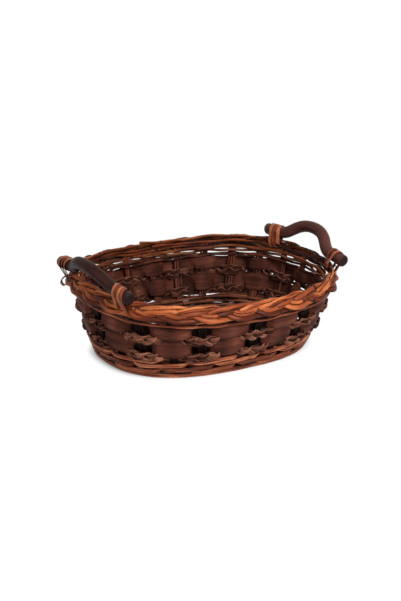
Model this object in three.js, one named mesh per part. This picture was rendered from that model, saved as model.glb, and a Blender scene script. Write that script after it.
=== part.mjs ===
// An oval bread basket with two ear handles, woven from willow rods, flat wood strips and plaited husk.
// Millimetres, +Z up, +X along the length. The origin is on the table, under the middle of the base.
// Stakes run through the base and up the wall. Rows of weavers pass in front of and behind them,
// a plait of three strands closes the rim, and each handle is lashed to the plait at both ends.

import * as THREE from 'three';

// Oval body, measured on the middle of the wall's thickness
const BASE_LENGTH = 247;
const BASE_WIDTH = 168;
const END_FLARE = 24;
const SIDE_FLARE = 34;
const FLARE_HEIGHT = 91;
const FLARE_POWER = 1.6;
const OVAL_POWER = 2.5;
const END_LIFT = 2.8;

// Stakes: bundles of three rods side by side
const STAKE_COUNT = 24;
const STAKES_AT_EACH_END = 5;
const STAKE_RODS = 3;
const STAKE_ROD = 3.4;
const STAKE_ROD_PRESS = 0.1;
const STAKE_GROOVE = 0.95;
const STAKE_BEND_RUN = 3;

// Weavers, from the table up
const WEAVE_ROD = 4.5;
const WOVEN_FOOT_ROWS = 4;
const FOOT_ROW_SPACE = 0.6;
const BRAID_HEIGHT = 10;
const BRAID_THICKNESS = 4.8;
const BRAID_SHOULDER = 2.4;
const STRIP_WIDTH = 12;
const STRIP_BELLY = 3.6;
const STRIP_THICKNESS = 1.1;
const STRIP_LAP_STAKES = 2;
const LAP_RAMP_START = 0.3;
const LAP_RAMP_LENGTH = 0.5;
const RIM_ROD = 3.3;
const RIM_ROW_SPACE = 1.6;
const RIM_SLIT = 4.1;
const OUTER_ROD_PROUD = 1.5;

// The stakes behind which the ends of each weaver meet or lap
const ROD_JOINT = 6;
const LOWER_BRAID_JOINT = 7;
const UPPER_BRAID_JOINT = 5;
const LOWER_STRIP_JOINT = 4;
const UPPER_STRIP_JOINT = 8;
const PLAIT_JOINT = 6.5;

// Base strips, woven lengthwise through the crosswise stakes
const BASE_STRIP_SIDE_ROOM = 0.8;
const BASE_STRIP_SPACE = 1;
const BASE_STRIP_THICKNESS = 1.1;
const BASE_STRIP_END_ROOM = 15;
const BASE_FLAT_MARGIN = 2.4;
const CROSSWISE_DRAW_IN = 0.8;
const LENGTHWISE_DRAW_IN = 0.9;
const STRAIGHT_SHARE = 0.4;
const SINK_START = 0.5;
const BEND_REACH = 9;

// Border plait of three flat strands
const PLAIT_STRANDS = 3;
const PLAIT_SWING = 7.6;
const PLAIT_DEPTH = 2.6;
const STRAND_WIDTH = 7.2;
const STRAND_THICKNESS = 3.4;
const PLAIT_TILT = THREE.MathUtils.degToRad(24);
const PLAIT_RISE = 3.6;
const STAKE_BELOW_PLAIT = 2.5;

// Ear handles of bent wood
const HANDLE_ROD = 14.2;
const HANDLE_BOW = 20.5;
const HANDLE_LEAN = THREE.MathUtils.degToRad(35);
const HANDLE_OUTER_END = 21;
const HANDLE_INNER_END = 8;
const HANDLE_TOE_IN = THREE.MathUtils.degToRad(2);
const HANDLE_DROOP = THREE.MathUtils.degToRad(5);
const HANDLE_SEAT_ANGLE = THREE.MathUtils.degToRad(56);
const HANDLE_SEAT_SHIFT = 7;
const HANDLE_PLACE = 1.5;
const HANDLE_FOOT_PULL = 0.5;
const HANDLE_TOP_PULL = 0.42;

// Lashings of split rod
const LASH_WIDTH = 2.2;
const LASH_THICKNESS = 0.9;
const LASH_TURNS = 3;
const LASH_TURN_GAP = 0.75;
const LASHED_STRANDS = 2;

// Clearances
const TABLE_GAP = 0.3;
const WEAVE_GAP = 0.4;
const ROW_GAP = 0.8;
const LASH_GAP = 0.8;
const BUTT_GAP = 0.6;
const FLAT_MARGIN = 0.6;

// Facets
const ROD_SIDES = 5;
const STRAND_SIDES = 6;
const STRAND_STEPS_PER_STAKE = 3;
const HANDLE_SIDES = 10;
const HANDLE_STEPS = 20;
const LASH_STEPS_PER_TURN = 12;
const LASH_TRIES_PER_STEP = 20;
const WALL_STEPS = 5;
const LENGTHWISE_BASE_STEPS = 4;
const CROSSWISE_BASE_STEPS = 3;

// Fineness of the sums that place the pieces
const OUTLINE_STEPS_PER_STAKE = 40;
const CLIMB_STEPS = 8;
const CROSSING_STEPS = 40;
const REACH_STEPS = 72;

// Sizes that follow from the ones above
const STAKE_ROD_PITCH = STAKE_ROD - STAKE_ROD_PRESS;
const STAKE_WIDTH = STAKE_ROD_PITCH * (STAKE_RODS - 1) + STAKE_ROD;
const CROSSWISE_LEVEL = BASE_STRIP_THICKNESS + WEAVE_GAP + STAKE_ROD / 2;
const LENGTHWISE_LEVEL = CROSSWISE_LEVEL + STAKE_ROD + WEAVE_GAP;
const STRIP_OFFSET = STAKE_ROD / 2 + WEAVE_GAP + STRIP_THICKNESS / 2;
const BRAID_OFFSET = STAKE_ROD / 2 + WEAVE_GAP + BRAID_THICKNESS / 2;
const UPWARD = new THREE.Vector3(0, 0, 1);

const { lerp, smoothstep } = THREE.MathUtils;

const materials = {
  stake: { color: '#8a5a30', roughness: 0.6 },
  rod: { color: '#9b6835', roughness: 0.55 },
  strip: { color: '#6a4326', roughness: 0.7 },
  braid: { color: '#a57a48', roughness: 0.8 },
  border: { color: '#a8713b', roughness: 0.5 },
  handle: { color: '#46291a', roughness: 0.45 },
  lashing: { color: '#b48a52', roughness: 0.6 },
};

const basket = new THREE.Group();

function addPiece(name, geometry, finish) {
  const material = new THREE.MeshStandardMaterial({ ...materials[finish], metalness: 0 });
  const piece = new THREE.Mesh(geometry, material);
  piece.name = name;
  basket.add(piece);
}

// The outline of the basket at one height, run anticlockwise from the +X end
class Oval extends THREE.Curve {
  constructor(halfLength, halfWidth) {
    super();
    this.halfLength = halfLength;
    this.halfWidth = halfWidth;
    this.arcLengthDivisions = OUTLINE_STEPS_PER_STAKE * STAKE_COUNT;
  }

  getPoint(turn, target = new THREE.Vector3()) {
    const angle = 2 * Math.PI * turn;
    const across = Math.abs(Math.cos(angle) / this.halfLength) ** OVAL_POWER;
    const along = Math.abs(Math.sin(angle) / this.halfWidth) ** OVAL_POWER;
    const radius = (across + along) ** (-1 / OVAL_POWER);
    return target.set(radius * Math.cos(angle), radius * Math.sin(angle), 0);
  }
}

function ovalAt(height) {
  const flare = 1 - Math.max(0, 1 - height / FLARE_HEIGHT) ** FLARE_POWER;
  return new Oval(BASE_LENGTH / 2 + END_FLARE * flare, BASE_WIDTH / 2 + SIDE_FLARE * flare);
}

// Equal shares of the outline at half height give the stakes their places at every height
const middleOval = ovalAt(FLARE_HEIGHT / 2);

function turnAt(share) {
  const whole = Math.floor(share);
  return whole + middleOval.getUtoTmapping(share - whole);
}

function wallPoint(share, height) {
  const turn = turnAt(share);
  const point = ovalAt(height).getPoint(turn);
  point.z = height + END_LIFT * Math.cos(4 * Math.PI * turn) * (height / FLARE_HEIGHT) ** 2;
  return point;
}

// Directions on the wall: along the outline, up the slope and out of the basket
function wallFrame(share, height) {
  const shareStep = 1e-4;
  const heightStep = 0.05;
  const along = wallPoint(share + shareStep, height).sub(wallPoint(share - shareStep, height)).normalize();
  const slope = wallPoint(share, height + heightStep).sub(wallPoint(share, height - heightStep));
  const out = new THREE.Vector3().crossVectors(along, slope).normalize();
  const up = new THREE.Vector3().crossVectors(out, along);
  return { point: wallPoint(share, height), along, up, out };
}

// The height reached by going a distance up the slope, at the last stake of one end
function climb(height, distance) {
  const share = (STAKES_AT_EACH_END - 1) / 2 / STAKE_COUNT;
  let reached = height;
  for (let step = 0; step < CLIMB_STEPS; step++) {
    reached += (distance / CLIMB_STEPS) * wallFrame(share, reached).up.z;
  }
  return reached;
}

function offset(point, ...moves) {
  const moved = point.clone();
  for (const [direction, distance] of moves) {
    moved.addScaledVector(direction, distance);
  }
  return moved;
}

// A ring of points: an outline of [sideways, outward] pairs, set on two directions about a centre
function ringOf(outline, centre, sideways, outward) {
  return outline.map(([side, out]) => offset(centre, [sideways, side], [outward, out]));
}

// One closed body through a row of rings, each ring running anticlockwise seen from the path's far end
function loft(rings, outline) {
  const count = outline.length;
  const faces = [];
  for (let ring = 0; ring < rings.length - 1; ring++) {
    for (let side = 0; side < count; side++) {
      const next = (side + 1) % count;
      const here = ring * count;
      const there = here + count;
      faces.push(here + side, here + next, there + next);
      faces.push(here + side, there + next, there + side);
    }
  }
  const flat = outline.map(([side, out]) => new THREE.Vector2(side, out));
  const last = (rings.length - 1) * count;
  for (const [a, b, c] of THREE.ShapeUtils.triangulateShape(flat, [])) {
    faces.push(a, c, b);
    faces.push(last + a, last + b, last + c);
  }
  const geometry = new THREE.BufferGeometry().setFromPoints(rings.flat());
  geometry.setIndex(faces);
  geometry.computeVertexNormals();
  return geometry;
}

function ellipseOutline(width, thickness, sides) {
  const corners = Array.from({ length: sides }, (_, side) => (2 * Math.PI * side) / sides);
  return corners.map((angle) => [(width / 2) * Math.cos(angle), (thickness / 2) * Math.sin(angle)]);
}

function rectangleOutline(width, thickness) {
  const w = width / 2;
  const t = thickness / 2;
  return [[-w, -t], [w, -t], [w, t], [-w, t]];
}

// Rods side by side, each a ridge above and below with a valley to the next
function bundleOutline() {
  const ridge = STAKE_ROD / 2;
  const valley = ridge - STAKE_GROOVE;
  const upper = [];
  for (let rod = 0; rod < STAKE_RODS; rod++) {
    const centre = (rod - (STAKE_RODS - 1) / 2) * STAKE_ROD_PITCH;
    upper.push([centre, ridge]);
    if (rod < STAKE_RODS - 1) {
      upper.push([centre + STAKE_ROD_PITCH / 2, valley]);
    }
  }
  const lower = upper.map(([side, out]) => [side, -out]);
  return [[-STAKE_WIDTH / 2, 0], ...lower, [STAKE_WIDTH / 2, 0], ...upper.reverse()];
}

// Stations along a weaver: flat across each stake, and halfway to the next where it changes side
function weaveStations(height, firstStake, spans, sideAt) {
  const flat = (STAKE_WIDTH / 2 + FLAT_MARGIN) / ovalAt(height).getLength();
  const stations = [];
  for (let stake = firstStake; stake <= firstStake + spans; stake++) {
    const side = sideAt(stake);
    stations.push({ share: stake / STAKE_COUNT - flat, side });
    stations.push({ share: stake / STAKE_COUNT + flat, side });
    if (stake < firstStake + spans && sideAt(stake + 1) !== side) {
      stations.push({ share: (stake + 0.5) / STAKE_COUNT, side: 0 });
    }
  }
  return stations;
}

// A rod that goes once round the wall, its two ends meeting behind one stake
function rodRing(height, diameter, firstStake, sideAt, proud = 0) {
  const stations = weaveStations(height, firstStake, STAKE_COUNT, sideAt);
  const halfButt = BUTT_GAP / 2 / ovalAt(height).getLength();
  stations[0].share = firstStake / STAKE_COUNT + halfButt;
  stations[stations.length - 1].share = firstStake / STAKE_COUNT + 1 - halfButt;
  const outline = ellipseOutline(diameter, diameter, ROD_SIDES);
  const distance = STAKE_ROD / 2 + WEAVE_GAP + diameter / 2 + proud;
  const rings = stations.map(({ share, side }) => {
    const { point, up, out } = wallFrame(share, height);
    return ringOf(outline, offset(point, [out, side * distance]), up, out);
  });
  return loft(rings, outline);
}

// A flat strip woven over one stake and under the next, its ends lapped over each other.
// Gathered between the stakes, it spreads into a belly on each: downwards, and upwards if there is room.
function stripRing(height, firstStake, sideAt, bellyAbove) {
  const stations = weaveStations(height, firstStake, STAKE_COUNT + STRIP_LAP_STAKES, sideAt);
  const layerStep = (STRIP_THICKNESS + WEAVE_GAP) / 2;
  const underRamp = STRIP_LAP_STAKES + LAP_RAMP_START;
  const overRamp = STAKE_COUNT - LAP_RAMP_START;
  const outline = rectangleOutline(STRIP_WIDTH, STRIP_THICKNESS);
  const spread = ([up, out], side) => [up + Math.abs(side) * (up < 0 ? -STRIP_BELLY : bellyAbove), out];
  const rings = stations.map(({ share, side }) => {
    const stakesIn = share * STAKE_COUNT - firstStake;
    const underLayer = 1 - smoothstep(stakesIn, underRamp, underRamp + LAP_RAMP_LENGTH);
    const overLayer = smoothstep(stakesIn, overRamp - LAP_RAMP_LENGTH, overRamp);
    const amplitude = STRIP_OFFSET + layerStep * (underLayer + overLayer);
    const distance = side * amplitude + layerStep * (overLayer - underLayer);
    const section = outline.map((corner) => spread(corner, side));
    const { point, up, out } = wallFrame(share, height);
    return ringOf(section, offset(point, [out, distance]), up, out);
  });
  return loft(rings, outline);
}

// A flat plait woven the other way to the strips, its ends meeting behind one stake
function braidRing(height, firstStake, sideAt) {
  const stations = weaveStations(height, firstStake, STAKE_COUNT, sideAt);
  const halfButt = BUTT_GAP / 2 / ovalAt(height).getLength();
  stations[0].share = firstStake / STAKE_COUNT + halfButt;
  stations[stations.length - 1].share = firstStake / STAKE_COUNT + 1 - halfButt;
  const edge = BRAID_HEIGHT / 2;
  const shoulder = edge - BRAID_SHOULDER;
  const face = BRAID_THICKNESS / 2;
  const inner = [[-edge, 0], [-shoulder, -face], [shoulder, -face]];
  const outline = [...inner, ...inner.map(([up, out]) => [-up, -out])];
  const rings = stations.map(({ share, side }) => {
    const { point, up, out } = wallFrame(share, height);
    return ringOf(outline, offset(point, [out, side * BRAID_OFFSET]), up, out);
  });
  return loft(rings, outline);
}

// Rows of weavers, stacked up the slope of the wall
const stripSide = (stake) => (stake % 2 === 0 ? -1 : 1);
const braidSide = (stake) => -stripSide(stake);
const footSide = (row) => (stake) => ((stake + row) % 3 === 0 ? -1 : 1);
const outerRodSide = (stake) => (stake % STAKE_COUNT === ROD_JOINT ? -1 : 1);

// The height on the wall at which a rod outside the stakes just clears the table, on the long sides
function lowestRodHeight() {
  const longSide = 0.25;
  const distance = STAKE_ROD / 2 + WEAVE_GAP + WEAVE_ROD / 2;
  let height = TABLE_GAP + WEAVE_ROD / 2;
  for (let step = 0; step < CLIMB_STEPS; step++) {
    height = TABLE_GAP + WEAVE_ROD / 2 - distance * wallFrame(longSide, height).out.z;
  }
  return height;
}

const lowestHeight = lowestRodHeight();
let rowBottom = climb(lowestHeight, WEAVE_ROD / 2 + FOOT_ROW_SPACE);

function nextRow(rowHeight, space = ROW_GAP) {
  const centre = climb(rowBottom, rowHeight / 2);
  rowBottom = climb(rowBottom, rowHeight + space);
  return centre;
}

// The lowest rod lies outside every stake, and the rows above it hold it down
addPiece('foot_rod_1', rodRing(lowestHeight, WEAVE_ROD, ROD_JOINT, () => 1), 'rod');
for (let row = 0; row < WOVEN_FOOT_ROWS; row++) {
  const height = nextRow(WEAVE_ROD, row < WOVEN_FOOT_ROWS - 1 ? FOOT_ROW_SPACE : ROW_GAP);
  addPiece(`foot_rod_${row + 2}`, rodRing(height, WEAVE_ROD, ROD_JOINT - row, footSide(row)), 'rod');
}
addPiece('lower_braid', braidRing(nextRow(BRAID_HEIGHT), LOWER_BRAID_JOINT, braidSide), 'braid');
const lowerStripHeight = nextRow(STRIP_WIDTH);
addPiece('lower_strip', stripRing(lowerStripHeight, LOWER_STRIP_JOINT, stripSide, STRIP_BELLY), 'strip');
addPiece('upper_braid', braidRing(nextRow(BRAID_HEIGHT), UPPER_BRAID_JOINT, braidSide), 'braid');
const upperStripHeight = nextRow(STRIP_WIDTH);
addPiece('upper_strip', stripRing(upperStripHeight, UPPER_STRIP_JOINT, stripSide, 0), 'strip');
const outerRodHeight = nextRow(RIM_ROD, RIM_SLIT);
addPiece('rim_rod_1', rodRing(outerRodHeight, RIM_ROD, ROD_JOINT, outerRodSide, OUTER_ROD_PROUD), 'rod');
addPiece('rim_rod_2', rodRing(nextRow(RIM_ROD, RIM_ROW_SPACE), RIM_ROD, ROD_JOINT, stripSide), 'rod');
const plaitHeight = rowBottom + PLAIT_RISE;
const stakeTop = plaitHeight - STAKE_BELOW_PLAIT;

// Stakes: each bundle lies across the base and rises in the wall at both ends
const stakeOutline = bundleOutline();

function outlineNormal(share, height) {
  const { along } = wallFrame(share, height);
  return new THREE.Vector3(along.y, -along.x, 0).normalize();
}

// The half of a bundle's way across the base that leads to one stake, in plan
function halfBasePath(stake, lengthwise) {
  const foot = wallPoint(stake / STAKE_COUNT, CROSSWISE_LEVEL).setZ(0);
  const inward = outlineNormal(stake / STAKE_COUNT, CROSSWISE_LEVEL).negate();
  const level = lengthwise
    ? new THREE.Vector3(foot.x * STRAIGHT_SHARE, foot.y * LENGTHWISE_DRAW_IN, 0)
    : new THREE.Vector3(foot.x * CROSSWISE_DRAW_IN, foot.y * STRAIGHT_SHARE, 0);
  const axis = lengthwise ? new THREE.Vector3(foot.x, 0, 0) : new THREE.Vector3(0, foot.y, 0);
  const run = axis.normalize().multiplyScalar(BEND_REACH);
  const start = offset(foot, [inward, STAKE_BEND_RUN]);
  const bend = offset(start, [inward, BEND_REACH]);
  return new THREE.CubicBezierCurve3(level, level.clone().add(run), bend, start);
}

// Rings from the middle of the base to the top of one stake
function halfBundle(stake, lengthwise) {
  const share = stake / STAKE_COUNT;
  const path = halfBasePath(stake, lengthwise);
  const middle = lengthwise ? LENGTHWISE_LEVEL : CROSSWISE_LEVEL;
  const pathSteps = lengthwise ? LENGTHWISE_BASE_STEPS : CROSSWISE_BASE_STEPS;
  const rings = [];
  for (let step = 0; step <= pathSteps; step++) {
    const progress = step / pathSteps;
    const travel = path.getTangentAt(progress);
    const height = lerp(middle, CROSSWISE_LEVEL, smoothstep(progress, SINK_START, 1));
    const centre = path.getPointAt(progress).setZ(height);
    rings.push({ centre, travel, rise: UPWARD });
  }
  const bendTop = climb(CROSSWISE_LEVEL, STAKE_BEND_RUN);
  for (let step = 0; step <= WALL_STEPS; step++) {
    const height = lerp(bendTop, stakeTop, step / WALL_STEPS);
    const { point, out } = wallFrame(share, height);
    rings.push({ centre: point, travel: outlineNormal(share, height), rise: out.clone().negate() });
  }
  return rings;
}

function stakeBundle(stakeA, stakeB, lengthwise) {
  const second = halfBundle(stakeB, lengthwise);
  const first = halfBundle(stakeA, lengthwise).reverse();
  const back = first.map(({ centre, travel, rise }) => ({ centre, travel: travel.clone().negate(), rise }));
  const rings = [...back, ...second].map(({ centre, travel, rise }) => {
    const sideways = new THREE.Vector3().crossVectors(UPWARD, travel).normalize();
    return ringOf(stakeOutline, centre, sideways, rise);
  });
  return loft(rings, stakeOutline);
}

const half = STAKE_COUNT / 2;
const endReach = (STAKES_AT_EACH_END - 1) / 2;
for (let place = -endReach; place <= endReach; place++) {
  addPiece(`long_stake_${place + endReach + 1}`, stakeBundle(half - place, place, true), 'stake');
}
for (let place = endReach + 1; place < half - endReach; place++) {
  addPiece(`cross_stake_${place - endReach}`, stakeBundle(-place, place, false), 'stake');
}

// Base strips fit between the last two lengthwise stakes of each side, and all have that width
const endStakes = Array.from({ length: endReach + 1 }, (_, stake) => stake);
const lengthwisePlaces = endStakes.map((stake) => halfBasePath(stake, true).v0.y);
const lastPlace = lengthwisePlaces[endReach];
const lastSpacing = lastPlace - lengthwisePlaces[endReach - 1];
const baseStripWidth = lastSpacing - STAKE_WIDTH - 2 * BASE_STRIP_SIDE_ROOM;

// Where a strip passes a crosswise stake, over one and under the next
function crossingAt(stake, y) {
  const path = halfBasePath(stake, false);
  const miss = (place) => Math.abs(place.y - Math.max(Math.abs(y), path.v0.y));
  const places = path.getPoints(CROSSING_STEPS);
  return places.reduce((best, place) => (miss(place) < miss(best) ? place : best)).x;
}

function baseStrip(y, order) {
  const outline = rectangleOutline(baseStripWidth, BASE_STRIP_THICKNESS);
  const reach = STAKE_ROD / 2 + WEAVE_GAP + BASE_STRIP_THICKNESS / 2;
  const flat = STAKE_WIDTH / 2 + BASE_FLAT_MARGIN;
  const { halfLength, halfWidth } = ovalAt(CROSSWISE_LEVEL);
  const farEdge = Math.abs(y) + baseStripWidth / 2;
  const room = 1 - (farEdge / halfWidth) ** OVAL_POWER;
  const endX = halfLength * room ** (1 / OVAL_POWER) - BASE_STRIP_END_ROOM;
  const stations = [];
  for (let stake = half - endReach - 1; stake > endReach; stake--) {
    const x = crossingAt(stake, y);
    const side = (stake + order) % 2 === 0 ? -1 : 1;
    if (Math.abs(x) + flat < endX) {
      stations.push({ x: x - flat, side });
      stations.push({ x: x + flat, side });
    }
  }
  stations[0].x = -endX;
  stations[stations.length - 1].x = endX;
  const sideways = new THREE.Vector3(0, 1, 0);
  const rings = stations.map(({ x, side }) => {
    const centre = new THREE.Vector3(x, y, CROSSWISE_LEVEL + side * reach);
    return ringOf(outline, centre, sideways, UPWARD);
  });
  return loft(rings, outline);
}

const stripPlaces = lengthwisePlaces.slice(1).map((place, index) => (place + lengthwisePlaces[index]) / 2);
stripPlaces.push(2 * lastPlace - stripPlaces[endReach - 1]);
stripPlaces.push(stripPlaces[endReach] + baseStripWidth + BASE_STRIP_SPACE);
stripPlaces.forEach((y, index) => {
  addPiece(`base_strip_left_${index + 1}`, baseStrip(y, index), 'strip');
  addPiece(`base_strip_right_${index + 1}`, baseStrip(-y, index + 1), 'strip');
});

// Border: the plait's middle runs round the rim, tilted so that its top edge leans inwards
const plaitOut = STAKE_ROD / 2 + WEAVE_GAP + PLAIT_DEPTH + STRAND_THICKNESS / 2;

function plaitFrame(share) {
  const { point, along } = wallFrame(share, plaitHeight);
  const level = new THREE.Vector3(along.y, -along.x, 0).normalize();
  const up = offset(new THREE.Vector3(), [UPWARD, Math.cos(PLAIT_TILT)], [level, -Math.sin(PLAIT_TILT)]);
  const out = offset(new THREE.Vector3(), [level, Math.cos(PLAIT_TILT)], [UPWARD, Math.sin(PLAIT_TILT)]);
  return { point: offset(point, [level, plaitOut]), along, level, up, out };
}

// A strand swings from edge to edge, in front of one neighbour and behind the next
function strandSwing(share, strand) {
  const phase = (2 * Math.PI * (share * STAKE_COUNT + strand)) / PLAIT_STRANDS;
  return { up: PLAIT_SWING * Math.cos(phase), out: -PLAIT_DEPTH * Math.sin(2 * phase) };
}

function strandPoint(share, strand) {
  const { point, up, out } = plaitFrame(share);
  const swing = strandSwing(share, strand);
  return offset(point, [up, swing.up], [out, swing.out]);
}

function borderStrand(strand) {
  const outline = ellipseOutline(STRAND_WIDTH, STRAND_THICKNESS, STRAND_SIDES);
  const steps = STAKE_COUNT * STRAND_STEPS_PER_STAKE;
  const start = (PLAIT_JOINT + strand) / STAKE_COUNT;
  const butt = BUTT_GAP / ovalAt(plaitHeight).getLength();
  const step = (1 - butt) / steps;
  const rings = [];
  for (let ring = 0; ring <= steps; ring++) {
    const share = start + ring * step;
    const behind = strandPoint(share - step / 4, strand);
    const travel = strandPoint(share + step / 4, strand).sub(behind).normalize();
    const { out } = plaitFrame(share);
    const sideways = new THREE.Vector3().crossVectors(out, travel).normalize();
    const thickness = new THREE.Vector3().crossVectors(travel, sideways);
    rings.push(ringOf(outline, strandPoint(share, strand), sideways, thickness));
  }
  return loft(rings, outline);
}

for (let strand = 0; strand < PLAIT_STRANDS; strand++) {
  addPiece(`border_strand_${strand + 1}`, borderStrand(strand), 'border');
}

// Handles: each end lies on the outer shoulder of the plait, where the plait reaches furthest up and out
function plaitReach(angle) {
  const reach = Array.from({ length: REACH_STEPS }, (_, step) => {
    const swing = strandSwing(((step / REACH_STEPS) * PLAIT_STRANDS) / STAKE_COUNT, 0);
    return swing.up * Math.sin(angle - PLAIT_TILT) + swing.out * Math.cos(angle - PLAIT_TILT);
  });
  const halfWidth = (STRAND_WIDTH / 2) * Math.sin(angle - PLAIT_TILT);
  const halfThickness = (STRAND_THICKNESS / 2) * Math.cos(angle - PLAIT_TILT);
  return Math.max(...reach) + Math.hypot(halfWidth, halfThickness);
}

// The point of the handle's axis where it is lashed, on the +X +Y quarter
function handleSeat() {
  const { point, level } = plaitFrame(HANDLE_PLACE / STAKE_COUNT);
  const distance = plaitReach(HANDLE_SEAT_ANGLE) + WEAVE_GAP + HANDLE_ROD / 2;
  const { cos, sin } = Math;
  const outwards = distance * cos(HANDLE_SEAT_ANGLE) - HANDLE_SEAT_SHIFT * sin(HANDLE_SEAT_ANGLE);
  const upwards = distance * sin(HANDLE_SEAT_ANGLE) + HANDLE_SEAT_SHIFT * cos(HANDLE_SEAT_ANGLE);
  return offset(point, [level, outwards], [UPWARD, upwards]);
}

const seat = handleSeat();
const endDirection = new THREE.Vector3(-Math.tan(HANDLE_TOE_IN), 1, -Math.tan(HANDLE_DROOP)).normalize();

function mirrored(point, signX, signY) {
  return new THREE.Vector3(signX * point.x, signY * point.y, point.z);
}

function handle(signX) {
  const tip = offset(seat, [endDirection, HANDLE_OUTER_END]);
  const foot = offset(seat, [endDirection, -HANDLE_INNER_END]);
  const top = new THREE.Vector3(
    foot.x + HANDLE_BOW * Math.sin(HANDLE_LEAN),
    0,
    foot.z + HANDLE_BOW * Math.cos(HANDLE_LEAN),
  );
  const leaving = offset(foot, [endDirection, -HANDLE_FOOT_PULL * foot.y]);
  const arriving = offset(top, [new THREE.Vector3(0, 1, 0), HANDLE_TOP_PULL * foot.y]);
  const backHalf = [tip, foot, leaving, arriving, top].map((point) => mirrored(point, signX, 1));
  const frontHalf = [top, arriving, leaving, foot, tip].map((point) => mirrored(point, signX, -1));
  const path = new THREE.CurvePath();
  path.add(new THREE.LineCurve3(backHalf[0], backHalf[1]));
  path.add(new THREE.CubicBezierCurve3(...backHalf.slice(1)));
  path.add(new THREE.CubicBezierCurve3(...frontHalf.slice(0, 4)));
  path.add(new THREE.LineCurve3(frontHalf[3], frontHalf[4]));
  const section = new THREE.Shape(
    ellipseOutline(HANDLE_ROD, HANDLE_ROD, HANDLE_SIDES).map(([x, y]) => new THREE.Vector2(x, y)),
  );
  return new THREE.ExtrudeGeometry(section, { steps: HANDLE_STEPS, extrudePath: path });
}

addPiece('handle_left', handle(-1), 'handle');
addPiece('handle_right', handle(1), 'handle');

// Lashings: a taut strip round the handle and the plait's upper strands, through the eye below them.
// In each direction it lies on whichever of these reaches furthest, and runs straight from one to the next.
function lashing(signX, signY) {
  const share = ((signX > 0 ? 0 : half) + signX * signY * HANDLE_PLACE) / STAKE_COUNT;
  const { point, along, up, out } = plaitFrame(share);
  const axisPoint = mirrored(seat, signX, signY);
  const axis = mirrored(endDirection, signX, signY);
  const axisAlong = axis.dot(along);
  const axisAcross = offset(axis, [along, -axisAlong]);
  const strands = Array.from({ length: PLAIT_STRANDS }, (_, strand) => strand);
  strands.sort((a, b) => strandSwing(share, b).up - strandSwing(share, a).up);
  const held = strands.slice(0, LASHED_STRANDS);
  const pitch = LASH_WIDTH + LASH_TURN_GAP;
  const lift = LASH_GAP + LASH_THICKNESS / 2;
  const rimLength = ovalAt(plaitHeight).getLength();
  const handleReach = HANDLE_ROD / 2 + lift;
  const strandUp = STRAND_WIDTH / 2 + lift;
  const strandOut = STRAND_THICKNESS / 2 + lift;
  const tries = LASH_STEPS_PER_TURN * LASH_TRIES_PER_STEP;

  function contact(turn) {
    const shift = (turn - LASH_TURNS / 2) * pitch;
    const angle = Math.PI - 2 * Math.PI * turn;
    const direction = offset(new THREE.Vector3(), [out, Math.cos(angle)], [up, Math.sin(angle)]);
    const onAxis = offset(axisPoint, [axis, shift / axisAlong]);
    const spread = offset(direction, [axisAcross, axisAcross.dot(direction) / axisAlong ** 2]);
    const onHandle = offset(onAxis, [spread, handleReach / Math.sqrt(spread.dot(direction))]);
    const reach = Math.hypot(strandOut * Math.cos(angle), strandUp * Math.sin(angle));
    const places = held.map((strand) => {
      const swing = strandSwing(share + shift / rimLength, strand);
      const outwards = swing.out + (strandOut ** 2 * Math.cos(angle)) / reach;
      const upwards = swing.up + (strandUp ** 2 * Math.sin(angle)) / reach;
      return offset(point, [along, shift], [out, outwards], [up, upwards]);
    });
    places.push(onHandle);
    const reaches = places.map((place) => place.dot(direction));
    const furthest = reaches.indexOf(Math.max(...reaches));
    return { direction, place: places[furthest], furthest };
  }

  const outline = rectangleOutline(LASH_WIDTH, LASH_THICKNESS);
  const rings = [];
  let laid = -1;
  const lay = (attempt) => {
    const { place, direction } = contact(attempt / tries);
    if (attempt !== laid) {
      rings.push(ringOf(outline, place, along, direction));
    }
    laid = attempt;
  };
  for (let attempt = 0; attempt <= LASH_TURNS * tries; attempt++) {
    const before = contact((attempt - 1) / tries).furthest;
    const leaves = attempt > 0 && contact(attempt / tries).furthest !== before;
    if (leaves) {
      lay(attempt - 1);
    }
    if (leaves || attempt % LASH_TRIES_PER_STEP === 0) {
      lay(attempt);
    }
  }
  return { rings, outline };
}

// The least distance between points of a winding that lie half a turn or more apart
function leastSelfGap(rings) {
  let least = Infinity;
  for (let first = 0; first < rings.length; first++) {
    for (let second = first + Math.ceil(LASH_STEPS_PER_TURN / 2); second < rings.length; second++) {
      for (const a of rings[first]) {
        least = Math.min(least, ...rings[second].map((b) => a.distanceTo(b)));
      }
    }
  }
  return least;
}

for (const [sideName, signX] of [['left', -1], ['right', 1]]) {
  for (const [endName, signY] of [['front', -1], ['back', 1]]) {
    const { rings, outline } = lashing(signX, signY);
    const name = `lashing_${sideName}_${endName}`;
    console.log(`${name}: least gap between turns ${leastSelfGap(rings).toFixed(2)} mm`);
    addPiece(name, loft(rings, outline), 'lashing');
  }
}

export default basket;
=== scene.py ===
# %% [markdown]
# # A woven bread basket
#
# The CAD model holds every piece of an oval basket as a plain solid: stakes, weavers, a plaited border,
# two handles and four lashings. Here each solid is replaced by what it stands for.
# A stake becomes three willow rods, a braid becomes three folded husk strands, and so on,
# each with the small irregularities of grown material.

# %% Frame
import math
from collections import namedtuple

import bpy
import numpy as np
from mathutils import Matrix, Vector


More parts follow.
